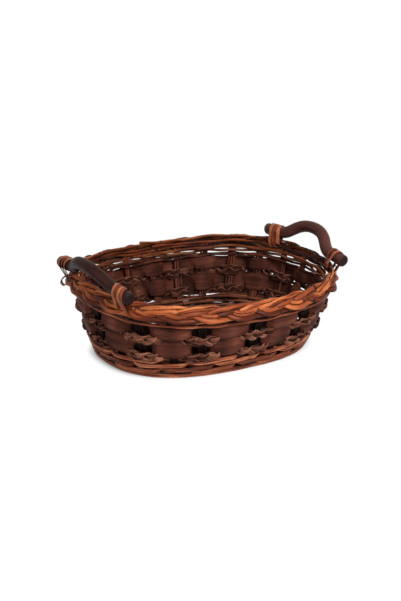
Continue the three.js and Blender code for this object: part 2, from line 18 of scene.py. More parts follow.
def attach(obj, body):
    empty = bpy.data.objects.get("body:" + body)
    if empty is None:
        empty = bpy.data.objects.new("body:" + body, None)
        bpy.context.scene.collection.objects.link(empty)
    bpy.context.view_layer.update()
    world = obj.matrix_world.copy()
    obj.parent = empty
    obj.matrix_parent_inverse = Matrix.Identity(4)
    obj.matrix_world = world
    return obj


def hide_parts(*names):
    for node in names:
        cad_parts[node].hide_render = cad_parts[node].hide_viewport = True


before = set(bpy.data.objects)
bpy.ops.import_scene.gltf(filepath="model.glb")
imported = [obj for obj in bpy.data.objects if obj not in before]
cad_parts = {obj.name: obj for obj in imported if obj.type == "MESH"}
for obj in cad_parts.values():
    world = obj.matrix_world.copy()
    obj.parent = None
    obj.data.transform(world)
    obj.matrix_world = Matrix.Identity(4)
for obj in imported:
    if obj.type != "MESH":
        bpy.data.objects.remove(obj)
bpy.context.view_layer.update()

print("CAD pieces:", len(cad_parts))

# %% [markdown]
# ## Sizes
#
# A basket maker works with a few sizes: the oval of the base, how far the wall leans out,
# the number of stakes and the thickness of the rods. They are the same as in the CAD model, in metres,
# so that each new piece lies where its solid was. Only the handles' arch is a little broader here.

# %% Sizes
MM = 0.001

BASE_LENGTH = 247 * MM
BASE_WIDTH = 168 * MM
END_FLARE = 24 * MM
SIDE_FLARE = 34 * MM
FLARE_HEIGHT = 91 * MM
FLARE_POWER = 1.6
OVAL_POWER = 2.5
END_LIFT = 2.8 * MM

STAKE_COUNT = 24
STAKES_AT_EACH_END = 5
STAKE_ROD = 3.4 * MM
STAKE_ROD_PITCH = 3.3 * MM
STAKE_RODS = 3
STAKE_BEND_RUN = 3 * MM

WEAVE_ROD = 4.5 * MM
WOVEN_FOOT_ROWS = 4
FOOT_ROW_SPACE = 0.6 * MM
BRAID_HEIGHT = 10 * MM
BRAID_THICKNESS = 4.8 * MM
STRIP_WIDTH = 12 * MM
STRIP_BELLY = 3.6 * MM
STRIP_THICKNESS = 1.1 * MM
STRIP_LAP_STAKES = 2
RIM_ROD = 3.3 * MM
RIM_ROW_SPACE = 1.6 * MM
RIM_SLIT = 4.1 * MM
OUTER_ROD_PROUD = 1.5 * MM

BASE_STRIP_SIDE_ROOM = 0.8 * MM
BASE_STRIP_SPACE = 1 * MM
BASE_FLAT_MARGIN = 2.4 * MM
BASE_STRIP_THICKNESS = 1.1 * MM
BASE_STRIP_END_ROOM = 15 * MM
CROSSWISE_DRAW_IN = 0.8
LENGTHWISE_DRAW_IN = 0.9
STRAIGHT_SHARE = 0.4
BEND_REACH = 9 * MM

PLAIT_STRANDS = 3
PLAIT_SWING = 7.6 * MM
PLAIT_DEPTH = 2.6 * MM
STRAND_WIDTH = 7.2 * MM
STRAND_THICKNESS = 3.4 * MM
PLAIT_TILT = math.radians(24)
PLAIT_RISE = 3.6 * MM
STAKE_BELOW_PLAIT = 2.5 * MM

HANDLE_ROD = 14.2 * MM
HANDLE_BOW = 20.5 * MM
HANDLE_LEAN = math.radians(35)
HANDLE_OUTER_END = 21 * MM
HANDLE_INNER_END = 8 * MM
HANDLE_TOE_IN = math.radians(2)
HANDLE_DROOP = math.radians(5)
HANDLE_SEAT_ANGLE = math.radians(56)
HANDLE_SEAT_SHIFT = 7 * MM
HANDLE_PLACE = 1.5
HANDLE_FOOT_PULL = 0.34
HANDLE_TOP_PULL = 0.62

LASH_THICKNESS = 0.9 * MM
LASHED_STRANDS = 2

TABLE_GAP = 0.3 * MM
WEAVE_GAP = 0.4 * MM
ROW_GAP = 0.8 * MM
LASH_GAP = 0.4 * MM
BUTT_GAP = 0.6 * MM
FLAT_MARGIN = 0.6 * MM

STAKE_WIDTH = STAKE_ROD_PITCH * (STAKE_RODS - 1) + STAKE_ROD
CROSSWISE_LEVEL = BASE_STRIP_THICKNESS + WEAVE_GAP + STAKE_ROD / 2
LENGTHWISE_LEVEL = CROSSWISE_LEVEL + STAKE_ROD + WEAVE_GAP
UPWARD = np.array([0.0, 0.0, 1.0])
HALF = STAKE_COUNT // 2
END_REACH = (STAKES_AT_EACH_END - 1) // 2
print("stakes", STAKE_COUNT, "stake width", round(STAKE_WIDTH / MM, 1), "mm")

# %% [markdown]
# ## The wall
#
# The wall is an oval that grows with height, steeply at first and less towards the rim.
# A place on it is a share of the way round, from the +X end, and a height.
# Equal shares are equal steps along the oval at half height, which is how a maker spaces stakes.


# %% The wall
ROUND_POINTS = 4001
SHARE_STEP = 1e-4
HEIGHT_STEP = 0.05 * MM
CLIMB_STEPS = 8


def unit(vectors):
    return vectors / np.linalg.norm(vectors, axis=-1, keepdims=True)


def smooth_step(value, low, high):
    """0 below low, 1 above high, and a smooth rise between."""
    t = np.clip((value - low) / (high - low), 0, 1)
    return t * t * (3 - 2 * t)


def beside_stake(thickness):
    """How far from the middle of a stake the middle of something lies that is laid against it."""
    return STAKE_ROD / 2 + WEAVE_GAP + thickness / 2


def half_sizes(height):
    flare = 1 - np.maximum(0, 1 - height / FLARE_HEIGHT) ** FLARE_POWER
    return BASE_LENGTH / 2 + END_FLARE * flare, BASE_WIDTH / 2 + SIDE_FLARE * flare


def oval(turn, height):
    half_length, half_width = half_sizes(height)
    angle = 2 * np.pi * turn
    across = np.abs(np.cos(angle) / half_length) ** OVAL_POWER
    along = np.abs(np.sin(angle) / half_width) ** OVAL_POWER
    radius = (across + along) ** (-1 / OVAL_POWER)
    return np.stack([radius * np.cos(angle), radius * np.sin(angle)], axis=-1)


def travelled(points):
    """The distance along a line of points, from its start."""
    steps = np.linalg.norm(np.diff(points, axis=0), axis=1)
    return np.concatenate([[0], np.cumsum(steps)])


ROUND = np.linspace(0, 1, ROUND_POINTS)
MIDDLE_ARC = travelled(oval(ROUND, FLARE_HEIGHT / 2))


def turn_at(share):
    whole = np.floor(share)
    return whole + np.interp((share - whole) * MIDDLE_ARC[-1], MIDDLE_ARC, ROUND)


def wall_point(share, height):
    share, height = np.broadcast_arrays(np.asarray(share, float), np.asarray(height, float))
    turn = turn_at(share)
    lift = END_LIFT * np.cos(4 * np.pi * turn) * (height / FLARE_HEIGHT) ** 2
    return np.concatenate([oval(turn, height), (height + lift)[..., None]], axis=-1)


def wall_frame(share, height):
    """Where a place on the wall is, and the directions along the rim, up the slope and out of the basket."""
    along = unit(wall_point(share + SHARE_STEP, height) - wall_point(share - SHARE_STEP, height))
    slope = wall_point(share, height + HEIGHT_STEP) - wall_point(share, height - HEIGHT_STEP)
    out = unit(np.cross(along, slope))
    return wall_point(share, height), along, np.cross(out, along), out


def level_out(along):
    """The level direction square to the rim, out of the basket."""
    return unit(np.stack([along[..., 1], -along[..., 0], 0 * along[..., 0]], axis=-1))


def rim_length(height):
    return travelled(oval(ROUND, height))[-1]


def climb(height, distance):
    """The height reached by going a distance up the slope, at the last stake of one end."""
    for _ in range(CLIMB_STEPS):
        height = height + distance / CLIMB_STEPS * wall_frame(END_REACH / STAKE_COUNT, height)[2][2]
    return float(height)


print("rim at the top", round(rim_length(FLARE_HEIGHT) / MM), "mm round")

# %% [markdown]
# ## Rows
#
# Weaving goes up from the base, row on row: five rods, a braid, a strip, a second braid and strip,
# and two thin rods under the border. The lowest rod just clears the table, and each row's middle height
# follows from the row below it.

# %% Rows
LONG_SIDE_SHARE = 0.25
SETTLING_ROUNDS = 8


def lowest_rod_height():
    """The height on the wall at which a rod outside the stakes just clears the table, on the long sides."""
    distance = beside_stake(WEAVE_ROD)
    height = TABLE_GAP + WEAVE_ROD / 2
    for _ in range(SETTLING_ROUNDS):
        height = TABLE_GAP + WEAVE_ROD / 2 - distance * wall_frame(LONG_SIDE_SHARE, height)[3][2]
    return float(height)


row_height = {"foot_rod_1": lowest_rod_height()}
row_bottom = climb(row_height["foot_rod_1"], WEAVE_ROD / 2 + FOOT_ROW_SPACE)
for name, size, space in (
    *[(f"foot_rod_{row + 2}", WEAVE_ROD, FOOT_ROW_SPACE) for row in range(WOVEN_FOOT_ROWS - 1)],
    (f"foot_rod_{WOVEN_FOOT_ROWS + 1}", WEAVE_ROD, ROW_GAP),
    ("lower_braid", BRAID_HEIGHT, ROW_GAP),
    ("lower_strip", STRIP_WIDTH, ROW_GAP),
    ("upper_braid", BRAID_HEIGHT, ROW_GAP),
    ("upper_strip", STRIP_WIDTH, ROW_GAP),
    ("rim_rod_1", RIM_ROD, RIM_SLIT),
    ("rim_rod_2", RIM_ROD, RIM_ROW_SPACE),
):
    row_height[name] = climb(row_bottom, size / 2)
    row_bottom = climb(row_bottom, size + space)

PLAIT_HEIGHT = row_bottom + PLAIT_RISE
STAKE_TOP = PLAIT_HEIGHT - STAKE_BELOW_PLAIT
for name, height in row_height.items():
    print(f"{name} at {height / MM:.1f} mm")

# %% [markdown]
# ## Shader sums
#
# A material here is a sum of a few patterns. One small class wraps a shader socket, so that a sum
# or a product of patterns reads as plain arithmetic, and one method adds any other node.


# %% Shader sums
NOISE_ROUGHNESS = 0.55
RELIEF_STRENGTH = 0.6
COAT_ROUGHNESS = 0.3
SPECULAR_LEVEL = 0.06


class Shade:
    """One shader socket. Arithmetic on it adds Math nodes to its tree."""

    def __init__(self, tree, socket=None):
        self.tree = tree
        self.socket = socket

    def node(self, kind, settings, values, output=0):
        """Adds a node: its settings first, then a value or a link for each named socket."""
        made = self.tree.nodes.new(kind)
        for key, value in settings.items():
            setattr(made, key, value)
        for key, value in values.items():
            if isinstance(value, Shade):
                self.tree.links.new(value.socket, made.inputs[key])
            else:
                made.inputs[key].default_value = value
        return Shade(self.tree, made.outputs[output]) if made.outputs else None

    def maths(self, operation, first, second=0.0):
        return self.node("ShaderNodeMath", {"operation": operation}, {0: first, 1: second})

    def __add__(self, other):
        return self.maths("ADD", self, other)

    def __radd__(self, other):
        return self.maths("ADD", other, self)

    def __sub__(self, other):
        return self.maths("SUBTRACT", self, other)

    def __mul__(self, other):
        return self.maths("MULTIPLY", self, other)

    def __pow__(self, other):
        return self.maths("POWER", self, other)

    def streaks(self, along, across, detail):
        """A cloudy pattern from 0 to 1, drawn out along the grain."""
        scale = (along, across, across)
        place = self.node("ShaderNodeVectorMath", {"operation": "MULTIPLY"}, {0: self, 1: scale})
        values = {"Vector": place, "Scale": 1.0, "Detail": detail, "Roughness": NOISE_ROUGHNESS}
        return self.node("ShaderNodeTexNoise", {"noise_dimensions": "3D"}, values)

    def between(self, low, high):
        """0 below low, 1 above high, and a smooth rise between."""
        settings = {"interpolation_type": "SMOOTHSTEP"}
        return self.node("ShaderNodeMapRange", settings, {"Value": self, "From Min": low, "From Max": high})

    def blend(self, first, second):
        """The first colour where this is 0, the second where it is 1."""
        settings = {"data_type": "RGBA", "clamp_factor": True}
        return self.node("ShaderNodeMix", settings, {0: self, 6: first, 7: second}, output=2)


def bare_tree(owner):
    """The emptied node tree of a material or a world."""
    owner.use_nodes = True
    owner.node_tree.nodes.clear()
    return Shade(owner.node_tree)


def material_tree(name):
    """A new material's tree, with the three things that each piece says about itself at every point."""
    material = bpy.data.materials.new(name)
    start = bare_tree(material)
    grain = start.node("ShaderNodeAttribute", {"attribute_name": "grain"}, {}, output="Vector")
    tint = start.node("ShaderNodeAttribute", {"attribute_name": "tint"}, {}, output="Fac")
    mark = start.node("ShaderNodeAttribute", {"attribute_name": "mark"}, {}, output="Fac")
    return material, grain, tint, mark


def finish_surface(colour, roughness, height, depth, coat=0.0):
    """A wood or fibre surface, with the height pattern as fine relief."""
    bump = {"Strength": RELIEF_STRENGTH, "Distance": depth, "Height": height}
    relief = colour.node("ShaderNodeBump", {}, bump)
    values = {"Base Color": colour, "Roughness": roughness, "Normal": relief, "Coat Weight": coat}
    values.update({"Coat Roughness": COAT_ROUGHNESS, "Specular IOR Level": SPECULAR_LEVEL})
    surface = colour.node("ShaderNodeBsdfPrincipled", {}, values)
    colour.node("ShaderNodeOutputMaterial", {}, {"Surface": surface})


def aged(age, first_step, second_step, dark, middle, light):
    """Dark, middle and light colour by age, with a soft step from each to the next."""
    colour = age.between(*first_step).blend(dark, middle)
    return age.between(*second_step).blend(colour, light)


def seen(red, green, blue):
    """A colour as a screen shows it, 0 to 255, in the shader's own numbers."""
    return (*[((value / 255 + 0.055) / 1.055) ** 2.4 for value in (red, green, blue)], 1.0)


print("shader helper ready")

# %% [markdown]
# ## Willow
#
# Peeled willow, stained and varnished. Colour runs in long streaks along the rod, changes slowly
# from end to end, differs from rod to rod, and is almost black at the knots where side shoots were cut off.
# The same near-black is painted on as shade, on the far side of each rod and where rods touch.
# The numbers say how fine each pattern is and how much of it goes into the colour. They were set one by one.


# %% Willow
SCRATCH_COLOUR = seen(38, 14, 8)
# Near black for the knots, and also for the painted shade on the rods
KNOT_AND_SHADE_COLOUR = seen(22, 8, 5)


def willow(name, dark, middle, light, coat):
    """Streaky wood with fine dark scratches, and knots and painted shade where the piece is marked."""
    material, grain, tint, knot_and_shade = material_tree(name)
    patches = grain.streaks(22, 130, 2.0)
    streaks = grain.streaks(35, 1000, 4.0)
    fibres = grain.streaks(180, 3500, 2.0)
    age = tint * 0.8 + patches * 1.0 + streaks * 0.7 - 0.75
    colour = aged(age, (0.1, 0.55), (0.5, 0.95), dark, middle, light)
    scratches = streaks.between(0.36, 0.44)
    colour = (scratches * 0.6 + 0.4).blend(SCRATCH_COLOUR, colour)
    # Knots and painted shade, where the mark says so
    colour = (knot_and_shade * 1.3).blend(colour, KNOT_AND_SHADE_COLOUR)
    roughness = 0.34 + streaks * 0.3
    finish_surface(colour, roughness, streaks * 0.7 + fibres * 0.3, 0.5 * MM, coat)
    return material


BORDER_WILLOW = willow("border_willow", seen(80, 32, 16), seen(145, 69, 36), seen(198, 113, 64), coat=0.1)
ROD_WILLOW = willow("rod_willow", seen(84, 38, 23), seen(146, 76, 50), seen(204, 126, 88), coat=0.08)
# The stake colours are darker than the other rods' colours: painted shade for the recesses of the wall
STAKE_WILLOW = willow("stake_willow", seen(52, 22, 14), seen(96, 50, 34), seen(140, 78, 52), coat=0.04)
print("willow", BORDER_WILLOW.name, ROD_WILLOW.name, STAKE_WILLOW.name)

# %% [markdown]
# ## Strip, husk, handle and lashing
#
# The strips are thin wood shaved along the grain, stained dark and dull. The braids are dried leaf husk,
# paler, with fine ribs. The handles are thick dark bent wood with a faint sheen. The lashings are
# split willow, with the paler inside of the rod outwards.


# %% Other materials
STRIP_EDGE_SHADE_COLOUR = seen(30, 13, 9)
STRIP_SHADE_COLOUR = seen(24, 10, 7)
CUT_END_COLOUR = seen(30, 17, 16)


def chip(name, dark, middle, light):
    """Shaved wood, with painted shade along its edges and where its tint is lowered."""
    material, grain, tint, edge = material_tree(name)
    patches = grain.streaks(14, 90, 3.0)
    lines = grain.streaks(9, 700, 4.0)
    pores = grain.streaks(70, 2600, 2.0)
    age = tint * 0.5 + patches * 1.1 + lines * 0.7 - 0.65
    colour = aged(age, (0.15, 0.6), (0.55, 1.0), dark, middle, light)
    # Painted shade along the strip's edges
    colour = (edge * 0.7).blend(colour, STRIP_EDGE_SHADE_COLOUR)
    colour = tint.between(-0.6, 0.1).blend(STRIP_SHADE_COLOUR, colour)
    roughness = 0.5 + lines * 0.3
    finish_surface(colour, roughness, lines * 0.6 + pores * 0.4, 0.4 * MM)
    return material


def husk(name, dark, middle, light):
    """Dried leaf with fine ribs, pale along its edges."""
    material, grain, tint, edge = material_tree(name)
    patches = grain.streaks(60, 200, 3.0)
    ribs = grain.streaks(25, 1900, 3.0)
    age = tint * 0.5 + patches * 1.0 + ribs * 0.8 - 0.65
    colour = aged(age, (0.1, 0.55), (0.5, 0.95), dark, middle, light)
    colour = (edge * 0.6).blend(colour, light)
    roughness = 0.62 + ribs * 0.25
    finish_surface(colour, roughness, ribs, 0.9 * MM)
    return material


def bent_wood(name, dark, middle, light):
    """Thick wood with long lines and pores, dark at its cut ends."""
    material, grain, tint, end = material_tree(name)
    patches = grain.streaks(16, 70, 3.0)
    lines = grain.streaks(12, 480, 5.0)
    pores = grain.streaks(90, 2400, 2.0)
    age = patches * 1.0 + lines * 0.8 + tint * 0.7 - 0.75
    colour = aged(age, (0.15, 0.6), (0.6, 1.0), dark, middle, light)
    colour = (end * 0.9).blend(colour, CUT_END_COLOUR)
    roughness = 0.36 + lines * 0.25
    finish_surface(colour, roughness, lines * 0.6 + pores * 0.4, 0.4 * MM, coat=0.04)
    return material


CHIP = chip("chip_strip", seen(50, 22, 16), seen(88, 46, 35), seen(132, 78, 61))
HUSK = husk("husk_braid", seen(50, 24, 17), seen(98, 56, 42), seen(152, 100, 80))
HANDLE_WOOD = bent_wood("handle_wood", seen(44, 22, 18), seen(76, 43, 37), seen(108, 66, 56))
LASHING_CANE = willow("lashing_cane", seen(82, 36, 22), seen(140, 70, 44), seen(182, 106, 72), coat=0.1)
print("materials", len(bpy.data.materials))

# %% [markdown]
# ## Bodies
#
# Every piece is a section carried along a line. A rod's section is round, a strip's is flat,
# a husk strand's is a thin leaf. Each point keeps its place in the straight, unbent material, so that
# the grain follows every bend, and a tint and a mark: knots and painted shade on a rod, painted shade along
# the edges of a strip.
# Grown material is never even, so most measures wander: a number in front of wander says how far,
# and the length given to it says how soon it turns back.


# %% Bodies
Body = namedtuple("Body", "points faces grain tint mark")
POINT_VALUES = (("grain", "FLOAT_VECTOR", "vector"), ("tint", "FLOAT", "value"), ("mark", "FLOAT", "value"))
WAVE_PARTS = (1, 0.63, 0.41)
LEAST_POINTS = 8
GRAIN_SPREAD = 4
KNOT_REACH = 1.6 * MM
KNOT_SWELLING = 0.14
ROD_OVALNESS = 0.05


def chance(name):
    """Random numbers that belong to one piece and are the same each time."""
    return np.random.default_rng(list(name.encode()))


def wander(distance, wavelength, rng):
    """A smooth random line between about -1 and 1."""
    waves = []
    for part in WAVE_PARTS:
        waves.append(np.sin(2 * np.pi * distance / (wavelength * part) + rng.uniform(0, 2 * np.pi)))
    return sum(waves) / 2


def even_line(points, step, *directions):
    """The same line with evenly spaced points, and any directions carried along it."""
    distance = travelled(points)
    count = max(LEAST_POINTS, int(distance[-1] / step))
    places = np.linspace(0, distance[-1], count)
    lines = []
    for line in (points, *directions):
        lines.append(np.stack([np.interp(places, distance, line[:, axis]) for axis in range(3)], axis=1))
    return lines[0], *[unit(line) for line in lines[1:]]


def softened(points, reach):
    """The same line with its corners rounded over a number of points, and its ends kept."""
    padded = np.concatenate([np.repeat(points[:1], reach, 0), points, np.repeat(points[-1:], reach, 0)])
    window = np.hanning(2 * reach + 3)[1:-1]
    window /= window.sum()
    soft = np.stack([np.convolve(padded[:, axis], window, "valid") for axis in range(3)], axis=1)
    fade = np.clip(np.minimum(np.arange(len(points)), np.arange(len(points))[::-1]) / reach, 0, 1)[:, None]
    return points + (soft - points) * fade


def line_frame(line, outward):
    """Two directions square to a line at each of its points: sideways, and as near to outward as can be."""
    travel = unit(np.gradient(line, axis=0))
    sideways = unit(np.cross(outward, travel))
    return sideways, np.cross(travel, sideways)


def shifted(line, *moves):
    """A line moved at each of its points: a direction and a distance for each move."""
    for direction, distance in moves:
        line = line + direction * np.asarray(distance)[..., None]
    return line


def sweep(centre, outward, across, over, tint, mark, rng):
    """A closed body from a section at each point of a line.

    Across is measured square to the outward direction, and over along it.
    """
    sideways, facing = line_frame(centre, outward)
    points = centre[:, None] + sideways[:, None] * across[..., None] + facing[:, None] * over[..., None]
    rings, count = across.shape
    distance = np.broadcast_to(travelled(centre)[:, None], across.shape)
    grain = np.stack([distance, across, over], axis=-1) + rng.uniform(0, GRAIN_SPREAD, 3)
    corner = np.arange(count)
    here = (np.arange(rings - 1) * count)[:, None] + corner
    there = (np.arange(rings - 1) * count)[:, None] + np.roll(corner, -1)
    sides = np.stack([here, there, there + count, here + count], axis=-1).reshape(-1, 4).tolist()
    ends = [corner[::-1].tolist(), (corner + (rings - 1) * count).tolist()]
    tints = np.broadcast_to(np.reshape(tint, (rings, -1)), across.shape)
    marks = np.broadcast_to(mark, across.shape)
    return Body(points.reshape(-1, 3), sides + ends, grain.reshape(-1, 3), tints.ravel(), marks.ravel())


def rod(
    centre, outward, diameter, rng, shade_behind,
    shade_between=0.0, tones=(0, 1), flatness=1.0, knot_every=60 * MM, sides=10,
):
    """A willow rod: a little uneven along its length, with knots.

    It has painted shade on its far side, and in the grooves where it touches its neighbours.
    """
    distance = travelled(centre)
    uneven = 0.05 * wander(distance, 70 * MM, rng) + 0.03 * wander(distance, 16 * MM, rng)
    angle = 2 * np.pi * np.arange(sides) / sides
    behind = smooth_step(-np.sin(angle), -0.1, 0.5)
    beside = smooth_step(np.abs(np.cos(angle)), 0.7, 1)
    # Painted shade: darker on the far side and where the rod touches its neighbours
    mark = np.tile(shade_behind * behind + shade_between * beside, (len(centre), 1))
    swelling = np.zeros(len(centre))
    for place in rng.uniform(0, distance[-1], int(distance[-1] / knot_every)):
        near = np.exp(-(((distance - place) / KNOT_REACH) ** 2))
        swelling = swelling + KNOT_SWELLING * near
        towards_knot = np.maximum(0, np.cos(angle - rng.uniform(0, 2 * np.pi)))
        mark = mark + near[:, None] * towards_knot**3
    radius = diameter / 2 * (1 + uneven + swelling)
    shape = 1 + ROD_OVALNESS * np.cos(2 * angle + rng.uniform(0, np.pi))
    across = radius[:, None] * shape * np.cos(angle)
    over = radius[:, None] * shape * np.sin(angle) * flatness
    tint = rng.uniform(*tones) + 0.2 * wander(distance, 90 * MM, rng)
    return sweep(centre, outward, across, over, tint, np.clip(mark, 0, 1), rng)


def placed(name, data):
    """A new object of the scene, from its mesh, light or camera data."""
    made = bpy.data.objects.new(name, data)
    bpy.context.scene.collection.objects.link(made)
    return made


def piece(name, bodies, material, slot, *nodes):
    """One object from its bodies, riding on the basket in place of CAD nodes."""
    starts = np.cumsum([0] + [len(body.points) for body in bodies])
    faces = []
    for body, start in zip(bodies, starts.tolist()):
        faces += [[corner + start for corner in face] for face in body.faces]
    mesh = bpy.data.meshes.new(name)
    mesh.from_pydata(np.concatenate([body.points for body in bodies]).tolist(), [], faces)
    mesh.polygons.foreach_set("use_smooth", [len(face) == 4 for face in faces])
    for key, kind, field in POINT_VALUES:
        values = np.concatenate([getattr(body, key) for body in bodies]).astype(np.float32)
        mesh.attributes.new(key, kind, "POINT").data.foreach_set(field, values.ravel())
    mesh.materials.append(material)
    made = placed(name, mesh)
    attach(made, "root")
    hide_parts(*nodes)
    return made


print("body helpers ready")

# %% [markdown]
# ## Stakes
#
# Twelve bundles of three rods lie across the base in two directions, and each end turns up into the wall.
# The maker soaks the rods, kinks them at the edge of the base and lets the weaving hold them up.


# %% Stakes
CURVE_POINTS = 60
STAKE_STEPS = 60
STAKE_STEP = 2 * MM
STAKE_SOFTENING = 3
BASE_STEP = 1.5 * MM
# Painted shade on the stakes: on each rod's far side, and where its rods touch
STAKE_SHADE_BEHIND = 0.95
STAKE_SHADE_BETWEEN = 0.3
STAKE_TONES = (0, 0.6)
STAKE_ROD_SHARES = (0.9, 1.0)


def bezier(corners):
    """A curve from the first of four points to the last, drawn towards the two between them."""
    t = np.linspace(0, 1, CURVE_POINTS)[:, None]
    a, b, c, d = corners
    return a * (1 - t) ** 3 + 3 * b * t * (1 - t) ** 2 + 3 * c * t**2 * (1 - t) + d * t**3


def base_path(stake, lengthwise):
    """The half of a bundle's way across the base that leads to one stake, in plan."""
    point, along, _, _ = wall_frame(stake / STAKE_COUNT, CROSSWISE_LEVEL)
    foot = point * [1, 1, 0]
    inward = -level_out(along)
    if lengthwise:
        level = foot * [STRAIGHT_SHARE, LENGTHWISE_DRAW_IN, 0]
        run = np.array([np.sign(foot[0]), 0, 0]) * BEND_REACH
    else:
        level = foot * [CROSSWISE_DRAW_IN, STRAIGHT_SHARE, 0]
        run = np.array([0, np.sign(foot[1]), 0]) * BEND_REACH
    start = foot + inward * STAKE_BEND_RUN
    return bezier([level, level + run, start + inward * BEND_REACH, start])


def half_stake(stake, lengthwise):
    """The line from the middle of the base to the top of one stake, and its direction in plan."""
    path, = even_line(base_path(stake, lengthwise), BASE_STEP)
    progress = np.linspace(0, 1, len(path))
    middle = LENGTHWISE_LEVEL if lengthwise else CROSSWISE_LEVEL
    path[:, 2] = middle + (CROSSWISE_LEVEL - middle) * smooth_step(progress, 0.5, 1)
    plan = unit(np.gradient(path * [1, 1, 0], axis=0))
    heights = np.linspace(climb(CROSSWISE_LEVEL, STAKE_BEND_RUN), STAKE_TOP, STAKE_STEPS)
    wall, along, _, _ = wall_frame(stake / STAKE_COUNT + 0 * heights, heights)
    return np.concatenate([path, wall]), np.concatenate([plan, level_out(along)])


def stake_bundle(stake_a, stake_b, lengthwise, rng):
    """Rods side by side, from the top of one stake across the base to the top of another."""
    first, first_plan = half_stake(stake_a, lengthwise)
    second, second_plan = half_stake(stake_b, lengthwise)
    line = np.concatenate([first[::-1], second])
    plan = np.concatenate([-first_plan[::-1], second_plan])
    line, plan = even_line(line, STAKE_STEP, plan)
    line = softened(line, STAKE_SOFTENING)
    sideways = unit(np.cross(UPWARD, plan))
    outward = np.cross(unit(np.gradient(line, axis=0)), sideways)
    distance = travelled(line)
    bodies = []
    for lane in range(STAKE_RODS):
        shift = (lane - (STAKE_RODS - 1) / 2) * STAKE_ROD_PITCH + 0.25 * MM * wander(distance, 90 * MM, rng)
        centre = shifted(line, (sideways, shift))
        diameter = STAKE_ROD * rng.uniform(*STAKE_ROD_SHARES)
        bodies.append(rod(centre, outward, diameter, rng, STAKE_SHADE_BEHIND, STAKE_SHADE_BETWEEN, STAKE_TONES))
    return bodies


for place in range(-END_REACH, END_REACH + 1):
    name = f"long_stake_{place + END_REACH + 1}"
    bodies = stake_bundle(HALF - place, place, True, chance(name))
    piece(name + "_rods", bodies, STAKE_WILLOW, "stake_willow", name)
for place in range(END_REACH + 1, HALF - END_REACH):
    name = f"cross_stake_{place - END_REACH}"
    bodies = stake_bundle(-place, place, False, chance(name))
    piece(name + "_rods", bodies, STAKE_WILLOW, "stake_willow", name)
print("stakes:", HALF, "bundles of", STAKE_RODS, "rods")

# %% [markdown]
# ## Base strips
#
# Flat strips run lengthwise between the stakes of the base, over one crosswise bundle and under the next.
# The basket rests on them where they pass underneath.


# %% Base strips
BASE_STRIP_SOFTENING = 4
BASE_STRIP_TONES = (0.2, 0.8)


def flat_section(count, half_width, half_thickness, cup):
    """A thin flat section with rounded edges, for each of a number of places. Cup lifts its edges."""
    steps = np.array([-1, -0.95, -0.7, -0.35, 0, 0.35, 0.7, 0.95, 1])
    edge = np.array([0.35, 1, 1, 1, 1, 1, 1, 1, 0.35])
    x = np.concatenate([steps, steps[::-1]])
    y = np.concatenate([-edge, edge[::-1]])
    half_width = np.broadcast_to(half_width, (count,))
    across = half_width[:, None] * x
    over = half_thickness * y + np.broadcast_to(cup, (count,))[:, None] * (x**2 - 0.4)
    mark = smooth_step(np.abs(x), 0.9, 1.0)
    return across, over, mark


def crossing_at(stake, y):
    """Where, along the base, the crosswise bundle of a stake passes a strip."""
    path = base_path(stake, False)
    return path[np.argmin(np.abs(path[:, 1] - max(abs(y), path[0, 1]))), 0]


places = [base_path(stake, True)[0, 1] for stake in range(END_REACH + 1)]
BASE_STRIP_WIDTH = places[-1] - places[-2] - STAKE_WIDTH - 2 * BASE_STRIP_SIDE_ROOM


def base_strip(y, order, rng):
    """A strip along the base, over and under the crosswise bundles by turns."""
    reach = beside_stake(BASE_STRIP_THICKNESS)
    half_length, half_width = half_sizes(CROSSWISE_LEVEL)
    far_edge = abs(y) + BASE_STRIP_WIDTH / 2
    oval_x = half_length * (1 - (far_edge / half_width) ** OVAL_POWER) ** (1 / OVAL_POWER)
    end_x = oval_x - BASE_STRIP_END_ROOM
    flat = STAKE_WIDTH / 2 + BASE_FLAT_MARGIN
    xs, zs = [], []
    for stake in range(HALF - END_REACH - 1, END_REACH, -1):
        x = crossing_at(stake, y)
        side = -1 if (stake + order) % 2 == 0 else 1
        if abs(x) + flat < end_x:
            xs += [x - flat, x + flat]
            zs += [CROSSWISE_LEVEL + side * reach] * 2
    xs[0], xs[-1] = -end_x, end_x
    line = np.stack([xs, np.full(len(xs), y), zs], axis=1)
    line, = even_line(line, BASE_STEP)
    line = softened(line, BASE_STRIP_SOFTENING)
    distance = travelled(line)
    width = BASE_STRIP_WIDTH / 2 * (0.97 + 0.03 * wander(distance, 60 * MM, rng))
    across, over, mark = flat_section(len(line), width, BASE_STRIP_THICKNESS / 2, cup=0.1 * MM)
    tint = rng.uniform(*BASE_STRIP_TONES) + 0 * distance
    return [sweep(line, np.tile(UPWARD, (len(line), 1)), across, over, tint, mark, rng)]


strip_places = [(near + far) / 2 for near, far in zip(places, places[1:])]
strip_places.append(2 * places[-1] - strip_places[-1])
strip_places.append(strip_places[-1] + BASE_STRIP_WIDTH + BASE_STRIP_SPACE)
for index, y in enumerate(strip_places):
    for side, place, order in (("left", y, index), ("right", -y, index + 1)):
        name = f"base_strip_{side}_{index + 1}"
        piece(name + "_chip", base_strip(place, order, chance(name)), CHIP, "chip_strip", name)
print("base strips at", [round(y / MM, 1) for y in strip_places], "mm each side")

# %% [markdown]
# ## Rods of the wall
#
# A weaver passes outside some stakes and inside the others. The band at the foot is woven with pairs
# of thin rods. The lowest pair lies outside every stake. Those above go outside two and inside one,
# and climb a little on each outside stroke, which makes the band look like a rope. Rods on the inside
# line it. Under the border one long rod runs outside the stakes and turns in only to hide its ends,
# with another along the inside, and above them a pair goes outside and inside by turns.
# Where a rod runs out, the next is laid in beside it, so cut ends show on the inside.


